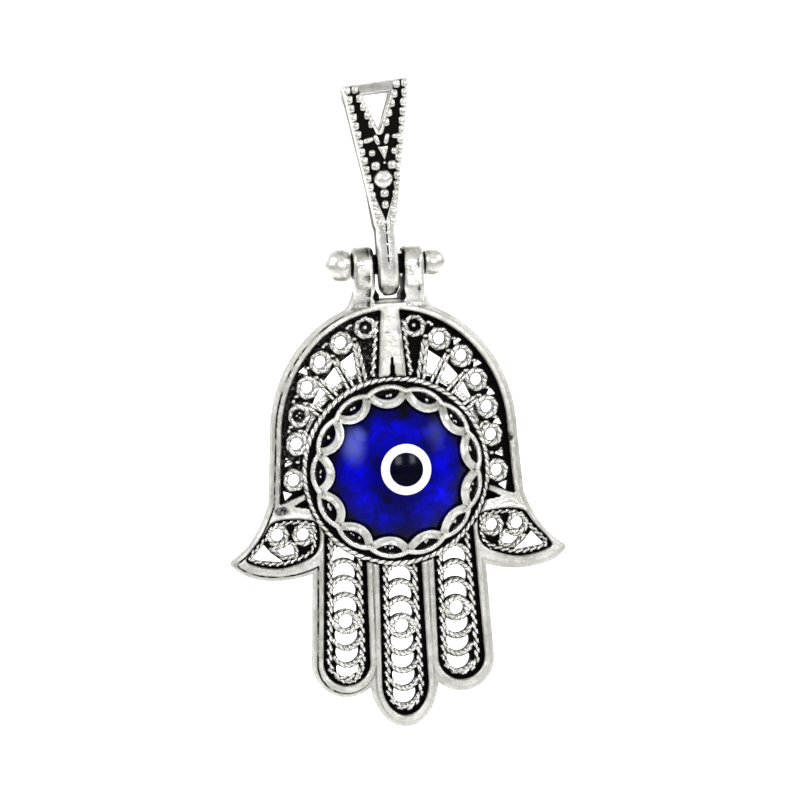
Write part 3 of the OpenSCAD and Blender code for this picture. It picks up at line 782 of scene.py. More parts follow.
def full_ring(finger):
    """Middle of the closed ring between a finger's arches and its cups."""
    return np.array([finger[0] * 0.97, -finger[1] * finger[3]])


def cells(finger):
    """Centres of the discs of a finger's openings, with 1 above the full ring and -1 below."""
    for way, count in ((1, finger[4]), (-1, finger[5])):
        for i in range(1, count + 1):
            yield full_ring(finger) + [0, way * (i * CELL_PITCH * finger[6] + CELL_SHIFT)], way


def wedges():
    """Dark pockets at the foot of the bar above the eye and at the shoulders' inner ends."""
    side = np.array([[0.97, -1.936], [1.08, -2.376], [0.95, -2.552]]) * [COLLAR_R, 1]
    return [
        np.array([[-0.19, ROPE_R], [0.19, ROPE_R], [0, COLLAR_R * 1.19]]),
        side, side * [-1, 1]
    ]


# The hand's rim and web are both trimmed from one grid of distances
STEP = 0.08
across_axis = np.arange(-13.6, 13.6 + STEP, STEP)
up_axis = np.arange(-20.7, 14.8 + STEP, STEP)
GA, GB = np.meshgrid(across_axis, up_axis)
round_eye = np.hypot(GA, GB)


def joined(*shapes):
    """Distance inwards from the union of closed outlines: the largest of their distances."""
    return np.maximum.reduce([signed(shape, GA, GB) for shape in shapes])


def ring_openings():
    """Distance inwards from the open rings of the palm."""
    return np.maximum.reduce([
        disc(ring * [side, 1], HOLE_R, GA, GB)
        for side in (1, -1) for ring, is_open in zip(RINGS, RING_OPEN[side]) if is_open])


def openings_field():
    """Above zero inside any opening: circles, crescents of a disc less its neighbour's wire,
    triangles by the rim, four-sided gaps between the leaves, and the thumbs' openings."""
    found, shapes = [ring_openings()], []
    for side in (1, -1):
        mirror = [side, 1]
        for gap, is_open in zip(RIM_GAPS, GAP_OPEN[side]):
            turn = math.atan2(gap[1], gap[0]) + math.pi
            if is_open:
                shapes.append((gap + polar(GAP_R, turn + np.radians([0, 120, 240]))) * mirror)
        for k in range(4):
            corners = np.vstack([
                polar(COLLAR_R, LEAF_FEET[k]), polar(COLLAR_R, LEAF_FEET[k + 1]),
                LEAF_TIPS[k + 1], LEAF_TIPS[k]])
            middle = corners.mean(0)
            gap = signed((middle + (corners - middle) * LEAF_GAP) * mirror, GA, GB)
            found.append(np.minimum(gap, -disc(RINGS[k + 1] * mirror, HOLE_R + WIRE_W, GA, GB)))
        found += [disc(thumb_points(spot, side), HOLE_R, GA, GB) for spot in THUMB_RINGS]
        shapes += [thumb_points(shape, side) for shape in (THUMB_HEART, THUMB_CORNER, THUMB_SLIT)]
    for finger in FINGERS:
        row = [disc(full_ring(finger), FULL_RING_R, GA, GB)]
        for centre, way in cells(finger):
            wire = disc(centre - [0, way * CELL_PITCH], CELL_R + WIRE_W, GA, GB)
            row.append(np.minimum(disc(centre, CELL_R, GA, GB), -wire))
        found.append(np.minimum(np.maximum.reduce(row), round_eye - COLLAR_R))
    return np.maximum.reduce(found + [joined(*shapes)])


# The two flares under the ears, and the saddle between them
flare = np.vstack([
    [1.13, 12.8], [2.81, 14.4],
    curve_over([[2.81, 14.4], [2.894, 13.28], [(HALF_PALM - 0.16) * math.cos(math.radians(66)),
                SPRING_H + (ARCH_H - 0.16) * math.sin(math.radians(66))]], 12)
])
saddle = [[-EAR_X, 12.6], [EAR_X, 12.6], [EAR_X, 13.7], [-EAR_X, 13.7]]
fingers = [finger_outline(finger, -RIM_W, 0.95 - RIM_W) for finger in FINGERS]
outline = joined(palm_outline(), *fingers, flare, flare * [-1, 1], saddle)

palm_hollow = joined(both_halves(np.vstack([
    arch(RIM_W), [SHOULDER[0] - RIM_W, SHOULDER[1]], [0, 1.32]])))
bar = joined([[-0.61, 15], [0.61, 15], [1.224, 5.5], [-1.224, 5.5]])
finger_hollows = joined(*[finger_outline(finger, 0) for finger in FINGERS])
hollow = np.maximum(
    np.minimum(np.maximum(np.minimum(palm_hollow, -bar), finger_hollows), round_eye - COLLAR_R),
    joined(*[softened(thumb_points(THUMB_HOLLOW, side)) for side in (1, -1)]))
pocket = joined(*wedges())
openings = openings_field()

rim_field = np.minimum.reduce([outline, -hollow, round_eye - COLLAR_R, -pocket])
web_field = np.minimum.reduce([
    np.maximum(hollow, pocket) + 0.06, -openings, outline - 0.1, round_eye - COLLAR_R + 0.3])


def read_grid(grid, a, b):
    """A grid's value at any point: g00 (1-s)(1-t) + g10 s(1-t) + g01 (1-s)t + g11 st."""
    s = np.clip((a - across_axis[0]) / STEP, 0, len(across_axis) - 1.001)
    t = np.clip((b - up_axis[0]) / STEP, 0, len(up_axis) - 1.001)
    i, j = s.astype(int), t.astype(int)
    s, t = s - i, t - j
    return ((grid[j, i] * (1 - s) + grid[j, i + 1] * s) * (1 - t)
            + (grid[j + 1, i] * (1 - s) + grid[j + 1, i + 1] * s) * t)


SEAM = 0.34
# Stains on the rim: place across and up, half width and half height
STAINS = [(-9.3, -2.7, 0.9, 0.55), (-0.3, 11.0, 0.28, 0.12), (-1.9, 14.1, 0.5, 0.4), (9.2, 2.3, 0.4, 0.6)]


def rim_top(a, b, f):
    """A slope along the outline that rises 0.1 mm over its width, a step of 0.1 mm up to the
    band, and a lip of 0.05 mm beside the hollows. The edges are rounded over 0.14 mm."""
    outer = read_grid(outline, a, b)
    inner = -read_grid(hollow, a, b)
    step = np.clip((outer - SEAM + 0.04) / 0.12, 0, 1)
    slope = RIM_T - 0.2 + 0.1 * np.clip(outer / SEAM, 0, 1)
    lip = 0.05 * np.exp(-((inner - 0.14) / 0.09) ** 2)
    return slope + (RIM_T + 0.01 - slope) * step * step * (3 - 2 * step) + lip - rounded(f, 0.14)


def rim_shade(level, a, b, f):
    """Black on the walls of the hollows and pockets and between the ears, a thin grey on the
    outer slope and its wall, the stains on the face, and a breath of grey on the back."""
    if level == 0:
        thin = np.where(read_grid(outline, a, b) < SEAM, 0.2, 0.06)
        for across, up, half_w, half_h in STAINS:
            near = 1 - np.hypot((a - across) / half_w, (b - up) / half_h)
            thin = np.maximum(thin, np.clip(near * 1.2, 0, 0.52))
        return np.where(read_grid(pocket, a, b) > -0.1, 0.7, thin)
    if level == 2:
        return np.full_like(f, 0.3)
    between_ears = (np.abs(a) < 1.08) & (b > 13.0)
    return np.where((read_grid(outline, a, b) < 0.12) & ~between_ears, 0.5, 1.0)


def web_shade(level, a, b, f):
    """Black on the face, thinner on the palm's left so that a few bright flecks show, black in
    the openings, and a breath of grey on the back."""
    if level == 0:
        return np.where((a < 0) & (b > 0), 0.6, 0.72)
    return np.full_like(f, 0.9 if level == 1 else 0.3)


silver = antique_silver("polished_silver", (0.83, 0.825, 0.795), rough=0.22, pits=0.8)
rim_silver = antique_silver("rim_silver", (0.72, 0.715, 0.685), rough=0.32, pits=1.0, ripple=0.8, seam=SEAM)
web_silver = antique_silver("oxidised_web", (0.76, 0.755, 0.73), rough=0.35, pits=0.8, ripple=0.3)
wire_silver = antique_silver("wire_silver", (0.84, 0.835, 0.81), rough=0.24, pits=0.3)
strip_silver = antique_silver("strip_silver", (0.8, 0.795, 0.765), rough=0.27, pits=1.0, ripple=1.0)
bail_silver = antique_silver("bail_silver", (0.83, 0.825, 0.8), rough=0.24, pits=1.0)

rim = make_piece("rim", [plate(
    across_axis, up_axis, rim_field, rim_top, lambda a, b, f: rounded(f, 0.2), on_hand, rim_shade
)], rim_silver, stands_for=("hand",))
places = np.empty(3 * len(rim.data.vertices))
rim.data.vertices.foreach_get("co", places)
on_front = places[1::3] < (BACK_Y - 1) * MM
mark(rim, "inset", np.where(on_front, read_grid(outline, places[::3] / MM, places[2::3] / MM - EYE_Z), -9))

make_piece("web", [plate(
    across_axis, up_axis, web_field, level_at(WEB_TOP), level_at(WEB_BACK), on_hand, web_shade, lip=0.05
)], web_silver)


def beyond(path, radius):
    """The points of a path that lie farther than a radius from the middle of the eye."""
    return path[np.hypot(path[:, 0], path[:, 1]) > radius]


# The wires of the palm: rings with what lies in them, leaves in pairs, a wire beside the bar,
# small links from ring to ring, and grains where a gap by the rim is closed
wires = []
for side in (1, -1):
    mirror = np.array([side, 1])
    for k, ring in enumerate(RINGS * mirror):
        circle = circle_path(ring, HOLE_R + 0.23)
        wires.append(twisted_wire(circle, "palm_ring", True, side))
        if not RING_OPEN[side][k]:
            wires += [bead(ring[0] + x, ring[1] + y, WEB_TOP, (r, r, r + 0.08), 1.0, on_hand)
                      for x, y, r in (CRUMBS if k else ONE_BALL)]
    for k, (foot, tip) in enumerate(zip(LEAF_FEET, LEAF_TIPS)):
        aside = np.array([tip[1], -tip[0]]) / np.linalg.norm(tip) * LEAF_ASIDE
        for lean in (-1, 1):
            leaf = np.array([polar(COLLAR_R - 0.15, foot + lean * LEAF_SPREAD), tip * 1.02 - aside * lean])
            kind = "leaf" if k else "first_leaf"
            wires.append(twisted_wire(flat_path(leaf * mirror), kind, turn=lean * side))
    beside_bar = np.array([[0.98, 12.1], [1.52, COLLAR_R - 0.1]]) * mirror
    wires.append(twisted_wire(flat_path(beside_bar), "beside_bar", turn=side))
    wires += [bead(*(link * shift), WEB_TOP + 0.05, (0.29, 0.18, 0.28), 0.9, on_hand)
              for link in (RINGS[:-1] + RINGS[1:]) / 2 * mirror for shift in (0.97, 1.07)]
    wires += [bead(*gap, WEB_TOP + 0.05, (0.24, 0.22, 0.25), 1.0, on_hand)
              for gap, is_open in zip(RIM_GAPS * mirror, GAP_OPEN[side]) if not is_open]
make_piece("palm_wires", wires, wire_silver)

# The wires of the fingers: a twisted wire that follows the hollow, arches, a ring and cups
wires = []
for finger in FINGERS:
    edge = beyond(evenly(flat_path(finger_outline(finger, 0.5)), 0.1)[0], COLLAR_R - 0.2)
    wires.append(twisted_wire(edge, "finger_edge"))
    ring = full_ring(finger)
    wires.append(twisted_wire(circle_path(ring, FULL_RING_R + 0.22), "finger_ring", True))
    for centre, way in [*cells(finger), *((ring + [0, way * CELL_SHIFT], way) for way in (1, -1))]:
        path = circle_path(centre, CELL_R + 0.2, start=12, end=168, n=40)
        path[:, 1] = centre[1] + way * (path[:, 1] - centre[1])
        path = beyond(path, COLLAR_R - 0.1)
        if len(path) > 6:
            wires.append(twisted_wire(path, "finger_arch", turn=way))
make_piece("finger_wires", wires, wire_silver)

# The wires of the thumbs: one along the hollow, two rings, and one round the heart
wires = []
for side in (1, -1):
    edge = thumb_points(THUMB_HOLLOW, side)
    inwards = edge.mean(0) - edge
    inner = edge + inwards / np.linalg.norm(inwards, axis=1, keepdims=True) * 0.34
    wires.append(twisted_wire(flat_path(softened(inner)), "thumb_edge", True))
    for spot in THUMB_RINGS:
        circle = circle_path(thumb_points(spot, side), HOLE_R + 0.22)
        wires.append(twisted_wire(circle, "thumb_ring", True))
    heart = thumb_points(THUMB_HEART, side)
    heart = heart.mean(0) + (heart - heart.mean(0)) * 1.26
    wires.append(twisted_wire(flat_path(heart), "heart", True))
make_piece("thumb_wires", wires, wire_silver)

# The cup under the glass, with its flange and collar
cup = np.array([
    [0, 0.02], [COLLAR_R - 0.03, 0.02], [COLLAR_R, 0.05], [COLLAR_R, 1.15], [CUP_R + 0.03, 1.15],
    [CUP_R, 1.2], [CUP_R, 1.88], [CUP_R - 0.06, 1.94], [CUP_IN_R + 0.06, 1.94], [CUP_IN_R, 1.88],
    [CUP_IN_R, 0.72], [CUP_IN_R - 0.03, 0.7], [0, 0.7]
])
make_piece("cup", [turned(cup, on_hand, 144, [0.3] * 2 + [0.5] + [1.0] * 10)], silver)

flange_field = np.minimum.reduce([
    FLANGE_R - round_eye, round_eye - COLLAR_R + 0.2, -ring_openings(), GB])
make_piece("flange", [plate(
    across_axis, up_axis, flange_field, level_at(FLANGE_T), level_at(FLANGE_FOOT), on_hand,
    even_shade(0.12, 0.12, 0.3), lip=0.05
)], silver)

rope = twisted_wire(circle_path([0, 0], ROPE_R, ROPE_MID, n=180), "rope", True, around=14, steps=7)
make_piece("rope_ring", [rope], wire_silver)

luck = np.random.default_rng(11)


def scallop_strip():
    """The strip folded over the glass. Each scallop is a band with two raised edges, carried
    along an arc of a circle round a point outside the glass, that bulges inwards, a wire that
    closes it behind, and three grains between them."""
    parts = []
    a = np.arange(14) * 2 * math.pi / 14
    band = np.array([
        [0.37, 0.0], [0.36, 0.12], [0.3, 0.19], [0.21, 0.14], [0.08, 0.09], [-0.08, 0.09], [-0.21, 0.14],
        [-0.3, 0.19], [-0.36, 0.12], [-0.37, 0.0], [-0.3, -0.14], [-0.1, -0.2], [0.1, -0.2], [0.3, -0.14]
    ])
    band_shade = np.array([0.5, 0, 0, 0.1, 0.24, 0.24, 0.1, 0, 0, 0.5, 1, 1, 1, 1])
    for i in range(SCALLOPS):
        turn = SCALLOP_TURN + i * 2 * math.pi / SCALLOPS
        out, aside = polar(1.0, turn), polar(1.0, turn + math.pi / 2)
        beta = np.radians(np.linspace(-SCALLOP_REACH, SCALLOP_REACH, 27))
        inwards, along = SCALLOP_MID - SCALLOP_R * np.cos(beta), SCALLOP_R * np.sin(beta)
        spot = inwards[:, None] * out + along[:, None] * aside
        r = np.hypot(*spot.T)
        high = DOME_FOOT + np.sqrt((DOME_R + 0.3) ** 2 - r ** 2)
        swell = 1 - 0.25 * np.abs(beta / beta[-1]) ** 3
        points, groups = carried(flat_path(spot, high), band * swell[:, None, None])
        parts.append((points, groups, np.tile(band_shade, len(beta))))
        t = np.linspace(-1, 1, 15)
        spot = polar(BACK_WIRE_R + 0.32 * (1 - t ** 2), turn + t * math.pi / SCALLOPS)
        round_wire = np.stack([0.25 * np.cos(a), 0.26 * np.sin(a)], -1)
        points, groups = carried(flat_path(spot, GRAIN_H + 0.1 * t ** 2), round_wire)
        low = np.broadcast_to(np.clip(-0.2 - np.sin(a) * 2, 0, 1), (len(t), len(a)))
        parts.append((points, groups, low.ravel()))
        for _ in range(3):
            grain = polar(GRAIN_R + 0.14 * luck.random(), turn + 0.13 * (luck.random() - 0.5))
            r = 0.09 + 0.07 * luck.random()
            parts.append(bead(*grain, GRAIN_H, (r, r * 1.3, 0.12), 0.8, on_hand, 8, 5))
    return parts


make_piece("scalloped_strip", scallop_strip(), strip_silver)


# The glass eye: a dome, and a ring and a pupil let into it
def glass_top(across, up, grow):
    """Height of the glass's sphere, grown by a hair: foot + sqrt(R² - across² - up²)."""
    return DOME_FOOT + np.sqrt((DOME_R + grow) ** 2 - across ** 2 - up ** 2)


def glass_cap(middle, radii, foot, grow, count):
    """A disc or ring of glass round its own middle: a ring of points at each radius on the
    sphere, and the same ring outside and inside at the height of its foot. The last radius
    may be 0, which closes the disc in a pole."""
    a = np.arange(count) * 2 * math.pi / count
    radii = np.asarray(radii, float)
    across = middle[0] + radii[:, None] * np.cos(a)
    up = middle[1] + radii[:, None] * np.sin(a)
    top = on_hand(across, up, glass_top(across, up, grow))
    ends = [0, -1] if radii[-1] > 0 else [0]
    low = on_hand(across[ends], up[ends], np.full((len(ends), count), foot))
    rows = np.concatenate([low[:1], top, low[1:]])
    m = len(rows)
    j, k = np.arange(m)[:, None] * count, np.arange(count)[None]
    after, next_row = (k + 1) % count, (j + count) % (m * count)
    quads = np.stack([j + k, j + after, next_row + after, next_row + k], -1)
    points = rows.reshape(-1, 3)
    if radii[-1] > 0:
        return points, [quads.reshape(-1, 4)], np.zeros(len(points))
    points = np.concatenate([points, on_hand(*np.array([[middle[0]], [middle[1]], [foot]]))])
    base = np.stack([np.full(count, m * count), after[0], k[0]], -1)
    return points, [quads[:-1].reshape(-1, 4), base], np.zeros(len(points))


make_piece("glass_eye", [glass_cap((0, 0), np.linspace(GLASS_R, 0, 61), GLASS_FOOT, 0, 144)],
           cobalt_glass(), stands_for=("eye_glass",))
make_piece("white_ring", [glass_cap(INLAY_SPOT, RING_RADII, INLAY_FOOT, 0.04, 96)],
           inlay_glass("milk_glass", (0.93, 0.93, 0.93), (0.86, 0.86, 0.87), 0.25, 1.2),
           stands_for=("eye_ring",))
make_piece("pupil_glass", [glass_cap(INLAY_SPOT, np.linspace(PUPIL_R, 0, 20), INLAY_FOOT, 0.08, 72)],
           inlay_glass("night_glass", (0.0005, 0.0005, 0.012), (0.0002, 0.0002, 0.002), 0.11, 0.9),
           stands_for=("pupil",))


# The hinge: ears on the hand, and the pin with a ball at each end
def ear_inset(back, up):
    """Distance inwards from an ear's side view: a half disc over a post whose front draws back
    to the rim at its foot."""
    foot = np.clip((-1.7 - up) / 1.4, 0, 1)
    front = EAR_R - 0.6 * foot * foot * (3 - 2 * foot)
    post = np.where(back < 0, front, EAR_R) - np.abs(back)
    return np.where(up < 0, np.minimum(post, up + EAR_FOOT), EAR_R - np.hypot(back, up))


def ear(side, cap):
    """A round-headed ear with a bore, a plate square to the pin with edges rounded over 0.32 mm.
    Its face towards the bail is black, and cap lightens the top."""
    x = side * EAR_X
    back_axis = np.arange(-1.6, 1.6, 0.06)
    rise_axis = np.arange(-3.6, 1.6, 0.06)
    y, z = np.meshgrid(back_axis, rise_axis)
    inner_level = 0 if side < 0 else 2

    def shade(level, a, b, f):
        """Black towards the bail and round the bore, clouded elsewhere, and a pit on the left."""
        if level == inner_level:
            return np.where(f > 0.2, 1.0, 0.0)
        bore = np.hypot(a, b) < 1.0
        foot_pit = (level == 1) & (side < 0) & (a < -0.9) & (np.abs(b + 2.2) < 0.32)
        soft = 0.2 + 0.16 * np.sin(3.1 * b + 4 * x) + 0.2 * (level == 1) - cap * (b > 0.9)
        return np.where(bore, 1.0, np.where(foot_pit, 0.62, np.clip(soft, 0, 1)))

    return plate(
        back_axis, rise_axis, np.minimum(ear_inset(y, z), -disc((0, 0), EAR_BORE_R, y, z)),
        lambda a, b, f: x + EAR_HALF_W - rounded(ear_inset(a, b), 0.32),
        lambda a, b, f: x - EAR_HALF_W + rounded(ear_inset(a, b), 0.32),
        on_pin, shade)


make_piece("ears", [ear(-1, 0.0), ear(1, 0.2)], silver)

# The channel between the ears has rounded black corners at its foot
t_axis = np.arange(-1.2, 1.2, 0.05)
u_axis = np.arange(-3.0, -1.85, 0.05)
TA, UA = np.meshgrid(t_axis, u_axis)
corners = np.minimum.reduce([
    np.hypot(TA, UA + 1.56) - 1.17, -1.95 - UA, UA + 2.86, 1.16 - np.abs(TA), np.abs(TA) - 0.86])
make_piece("hinge_channel", [plate(
    t_axis, u_axis, corners, lambda a, b, f: 1.2 - rounded(f, 0.1), level_at(-1.2),
    lambda a, b, h: on_pin(-h, b, a), even_shade(1, 1, 1)
)], silver)


def ball_profile(centre, radius, face, way):
    """The pin's end: from the pin's radius at the flat face of the ball, over the ball."""
    flat_r = math.sqrt(radius ** 2 - (face - centre) ** 2)
    start = math.atan2(flat_r, face - centre)
    a = np.linspace(start, 0 if way > 0 else math.pi, 26)
    return np.column_stack([radius * np.sin(a), centre + radius * np.cos(a)])


left = ball_profile(*LEFT_BALL, -BALL_FACE, -1)
right = ball_profile(*RIGHT_BALL, BALL_FACE, 1)
pin = [[PIN_R, x] for x in (-BALL_FACE, -2.2, 2.2, BALL_FACE)]
pin_oxide = np.concatenate([np.zeros(25), [0.5], [1, 1, 1, 1], [0.5], np.zeros(25)])
make_piece("pin_and_balls", [turned(np.vstack([left[::-1], pin, right]), on_pin, 64, pin_oxide)],
           silver, stands_for=("hinge_pin",))


# The bail: a tapered loop whose front is black between its edges and carries beads
def half_width(z):
    """Half the bail's width: that of its ring, less at the ring's foot, and growing evenly from
    WIDEN_Z to the top."""
    foot = 0.35 * np.clip((-1.6 - z) / 0.93, 0, 1) ** 2
    taper = np.clip(z - WIDEN_Z, 0, None) / (BAIL_TOP - WIDEN_Z)
    return RING_HALF_W - foot + (BAIL_HALF_W - RING_HALF_W) * taper


def face_out(z):
    """The front face: the ring's circle, a straight line that leans out, and the bend's circle."""
    turn_low = -RING_OUT_R * math.sin(LEAN)
    line = RING_OUT_R / math.cos(LEAN) + z * math.tan(LEAN)
    low = np.sqrt(np.clip(RING_OUT_R ** 2 - z ** 2, 0, None))
    high = BEND_Y + np.sqrt(np.clip(BEND_OUT_R ** 2 - (z - BEND_Z) ** 2, 0, None))
    return np.where(z < turn_low, low, np.where(z < BEND_Z - BEND_OUT_R * math.sin(LEAN), line, high))


def bail_inside(a, z, f):
    """The inside: the pin's bore, and a loop of a circle, straight sides and two bends."""
    bore = np.sqrt(np.clip(BORE_R ** 2 - z ** 2, 0, None))
    low = np.sqrt(np.clip(LOOP_FOOT_R ** 2 - (z - LOOP_FOOT_Z) ** 2, 0, None))
    widen = (BEND_Y + BEND_IN_R - LOOP_FOOT_R) / (BEND_Z - LOOP_FOOT_Z)
    line = LOOP_FOOT_R + (z - LOOP_FOOT_Z) * widen
    high = BEND_Y + np.sqrt(np.clip(BEND_IN_R ** 2 - (z - BEND_Z) ** 2, 0, None))
    loop = np.where(z < LOOP_FOOT_Z, low, np.where(z < BEND_Z, line, high))
    loop = np.where((z > LOOP_FOOT_Z - 1.77) & (z < BEND_Z + BEND_IN_R), loop, 0)
    return np.where(np.abs(z) < BORE_R, bore, loop) - 0.03


def window(a, b):
    """Signed distance to the three-cornered window through the bail's front."""
    return signed([[0, WINDOW_FOOT], [WINDOW_HALF_W, WINDOW_TOP], [-WINDOW_HALF_W, WINDOW_TOP]], a, b)


def bail_edge(a, b):
    """Distance inwards from the bail's sides and from its window."""
    return np.minimum(half_width(b) - np.abs(a), -window(a, b))


def edge_radius(z):
    """Radius of the rounded edges: wide on the ring, narrow above it."""
    return np.interp(z, [2.2, 4.0], [0.74, 0.26])


def bail_front(a, b, f):
    """The face, dropped at its edges by the rounding."""
    return face_out(b) - rounded(np.minimum(bail_edge(a, b), edge_radius(b)), edge_radius(b))


def bail_shade(level, a, b, f):
    """Black ground inside the front's edges, up to the foot of the top band, the fine split
    line below it, black on the flat sides of the ring, and above it a painted shade of grey on
    the sides, the inside and the window's walls, lighter at the top band."""
    narrow = (b - 3.3) * 0.35 - np.abs(a)
    ground = np.clip(np.minimum.reduce([bail_edge(a, b) - 0.28, narrow, 14.3 - b]) / 0.08, 0, 1)
    split = (np.abs(a) < 0.05) & (b > 0.2) & (b < 4.2) & (np.sin(7 * b) > -0.8)
    between_legs = (b > 13.2) & (np.abs(a) < 1.2 + 0.35 * (b - 13.4))
    face = np.where(between_legs, np.where(b < 14.3, 0.36, 0.0), np.maximum(ground, split * 0.7))
    # Painted shade: grey on the sides, the inside and the window's walls; the black on the ring's flat
    # sides below 3 mm is patina
    sides = np.where(b > TOP_BAND, 0.25, np.where(level == 1, 0.5, 0.42))
    sides = np.where(b < 3.0, 0.9, np.where(window(a, b) > -0.1, 0.4, sides))
    return face if level == 0 else sides


def bail_back_shade(level, a, b, f):
    """Plain silver with a little grey, and more grey on the sides and the inside, a painted shade."""
    return np.where(b > TOP_BAND, 0.25, np.full_like(f, 0.22 if level == 0 else 0.34))


BAIL_STEP = 0.075
a_axis = np.arange(-2.9, 2.9, BAIL_STEP)
b_axis = np.arange(-2.65, 14.7, BAIL_STEP)
BA, BB = np.meshgrid(a_axis, b_axis)
bail_field = np.minimum.reduce([
    bail_edge(BA, BB), BAIL_TOP - BB, BB + RING_OUT_R - 0.01,
    bail_front(BA, BB, 0) - 0.02 * (BB < 0)])
narrower = 0.22 * np.clip((BB - 3) / 3, 0, 1) * np.clip((14.4 - BB) / 1.5, 0, 1)
make_piece("bail_loop", [
    plate(a_axis, b_axis, bail_field, bail_front, bail_inside, on_bail, bail_shade),
    plate(a_axis, b_axis, np.minimum(bail_field, bail_edge(BA, BB) - narrower),
          bail_front, bail_inside, on_bail_back, bail_back_shade),
], bail_silver, "bail", stands_for=("bail",))

beads = []


def add_bead(across, up, size, squareness=0.75, around=12, rows=7, lean=0):
    """A bead on the bail's face at a place, leaned to the left by lean degrees."""
    out = float(face_out(np.array(up))) + size[2] * 0.1
    beads.append(bead(across, up, out, size, squareness, on_bail, around, rows, math.radians(lean)))


chance = np.random.default_rng(7)
for side in (-1, 1):
    for z in np.arange(3.4, 14.2, 0.7):
        grow = 1 + 0.1 * chance.standard_normal()
        add_bead(side * (float(half_width(z)) - 0.34), z, (0.29 * grow, 0.33, 0.28), 0.6)
    for z in np.arange(11.1, 14.2, 0.7):
        inner = WINDOW_HALF_W * (z - WINDOW_FOOT) / (WINDOW_TOP - WINDOW_FOOT)
        add_bead(side * (inner + 0.36), z, (0.28, 0.33, 0.28), 0.6)
for across, up, half_w, half_h, lean in BARS_AND_BALLS:
    add_bead(across, up, (half_w, half_h, min(half_w, half_h) + 0.06), lean=lean)
add_bead(0.03, 6.72, (0.77, 0.77, 0.7), 1.0, 32, 17)
make_piece("bail_beads", beads, silver, "bail", crease=70)

boss = np.array([[-0.27, 9.28], [0.26, 8.1], [0.66, 9.28]])
t_axis = np.arange(-0.6, 0.6, 0.05)
u_axis = np.arange(8.0, 9.6, 0.05)
make_piece("bail_boss", [plate(
    t_axis, u_axis, signed(boss, *np.meshgrid(t_axis, u_axis)),
    lambda a, b, f: face_out(b) + 0.28 - rounded(f, 0.12),
    lambda a, b, f: face_out(b) - 0.1, on_bail, even_shade(0.0, 0.8, 0.8)
)], silver, "bail")

# The floor and the wall behind it are one pale sweep, darker in front, that glows towards the back by
# painted emission, with no lamp behind it
paper, tree, surface = shader("pale_paper")
spot = add(tree, "TexCoord").outputs["Object"]
behind = add(tree, "SeparateXYZ", {"Vector": spot}).outputs["Y"]
pale = ramp(tree, noise(tree, spot, 40, 3), [(0.3, 0.93), (0.7, 0.96)])
before = ramp(tree, times(tree, plus(tree, behind, 0.12), 10.0), [(0.0, 0.48), (1.0, 1)], "EASE")
# Painted light: the emission makes the back of the sweep glow in place of a lamp
fill(tree, surface, {
    "Base Color": vector(tree, "MULTIPLY", pale, before), "Roughness": 0.9, "Emission Strength": 0.6,
    "Emission Color": ramp(tree, times(tree, plus(tree, behind, 0.05), 10.0), [(0.0, 0), (1.0, 1)], "EASE")
})
FLOOR_Z = -0.062
SWEEP_HALF_W = 0.9
turn = np.linspace(-math.pi / 2, 0, 13)
sweep_yz = np.vstack([
    [-0.5, FLOOR_Z], np.column_stack([0.2 + 0.1 * np.cos(turn), FLOOR_Z + 0.1 + 0.1 * np.sin(turn)]),
    [0.3, 0.5]])
sweep_points = [(x, y, z) for y, z in sweep_yz for x in (-SWEEP_HALF_W, SWEEP_HALF_W)]
strips = len(sweep_yz) - 1
mesh = bpy.data.meshes.new("paper_sweep")
mesh.from_pydata(sweep_points, [], [(2 * i, 2 * i + 1, 2 * i + 3, 2 * i + 2) for i in range(strips)])
mesh.polygons.foreach_set("use_smooth", np.ones(strips, bool))
mesh.materials.append(paper)
floor = new_object("paper_sweep", mesh)

AIM = Vector((0.00055, -0.0004, -0.0245))
CAMERA_AWAY = 0.3
# Where the camera stands, a little to the left and above, and how far it is rolled to the left
AZIMUTH, ELEVATION, ROLL = math.radians(-8), math.radians(3), math.radians(-2.4)


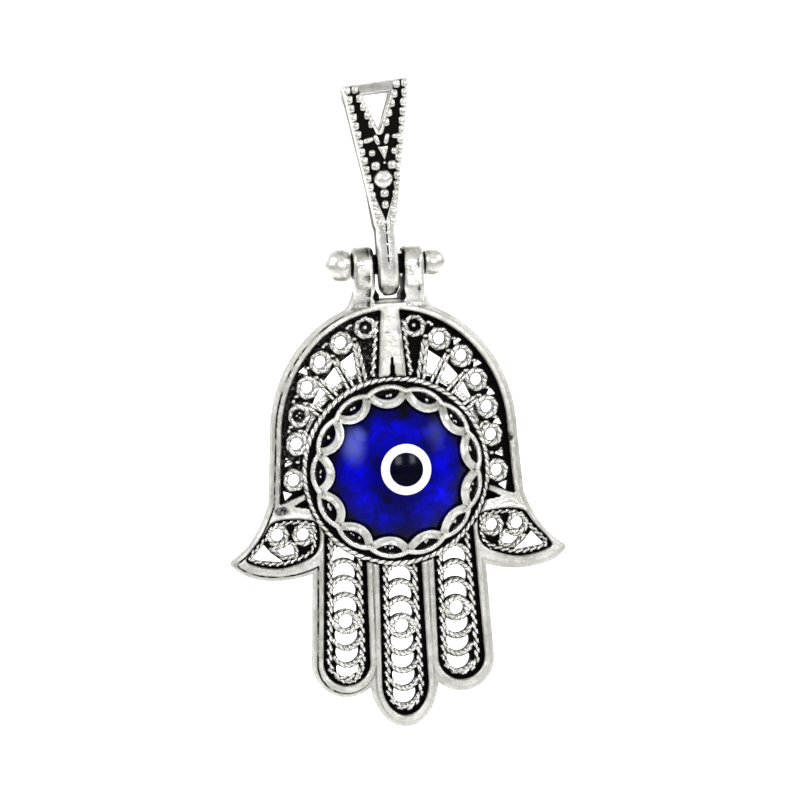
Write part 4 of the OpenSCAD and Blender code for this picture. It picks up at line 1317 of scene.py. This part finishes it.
def stand(obj, place, roll=0.0):
    """Put an object at a place, turned to the middle of the pendant and rolled by an angle."""
    obj.location = place
    obj.rotation_mode = "QUATERNION"
    obj.rotation_quaternion = (AIM - Vector(place)).to_track_quat("-Z", "Y") @ Quaternion((0, 0, 1), roll)


def soft_light(name, place, size, power):
    """A rectangular lamp at a place."""
    lamp = bpy.data.lights.new(name, "AREA")
    lamp.shape = "RECTANGLE"
    lamp.size, lamp.size_y = size
    lamp.energy = power
    stand(new_object(name, lamp), place)


camera = new_object("camera", bpy.data.cameras.new("camera"))
camera.data.sensor_width = 36
camera.data.lens = 170.4
camera.data.clip_start = 0.01
stand(camera, AIM + CAMERA_AWAY * Vector((
    math.sin(AZIMUTH) * math.cos(ELEVATION), -math.cos(AZIMUTH) * math.cos(ELEVATION), math.sin(ELEVATION)
)), ROLL)
bpy.context.scene.camera = camera

soft_light("left_softbox", (-0.24, -0.16, 0.16), (0.14, 0.18), 0.32)
soft_light("right_softbox", (0.25, -0.14, 0.14), (0.12, 0.16), 0.15)
soft_light("left_window", (0.023, -0.342, 0.043), (0.042, 0.058), 0.15)
soft_light("right_window", (0.124, -0.318, 0.045), (0.036, 0.058), 0.12)

# The room: paler behind and above than in front and below
world = bpy.data.worlds.new("studio")
bpy.context.scene.world = world
world.use_nodes = True
tree = world.node_tree
way = add(tree, "SeparateXYZ", {"Vector": add(tree, "TexCoord").outputs["Generated"]}).outputs
front = ramp(tree, times(tree, plus(tree, way["Y"], 1.0), 0.5), [
    (0.0, 0.4), (0.005, 0.45), (0.03, (0.75, 0.75, 0.74)), (0.146, (0.95, 0.95, 0.94)), (0.5, 0.85),
    (1.0, 0.95)])
rise = ramp(tree, times(tree, plus(tree, way["Z"], 1.0), 0.5), [(0.25, 0.45), (0.6, 1)])
room = next(n for n in tree.nodes if n.type == "BACKGROUND")
fill(tree, room, {"Color": vector(tree, "MULTIPLY", front, rise), "Strength": 1.0})
bpy.context.scene.view_settings.view_transform = "Standard"
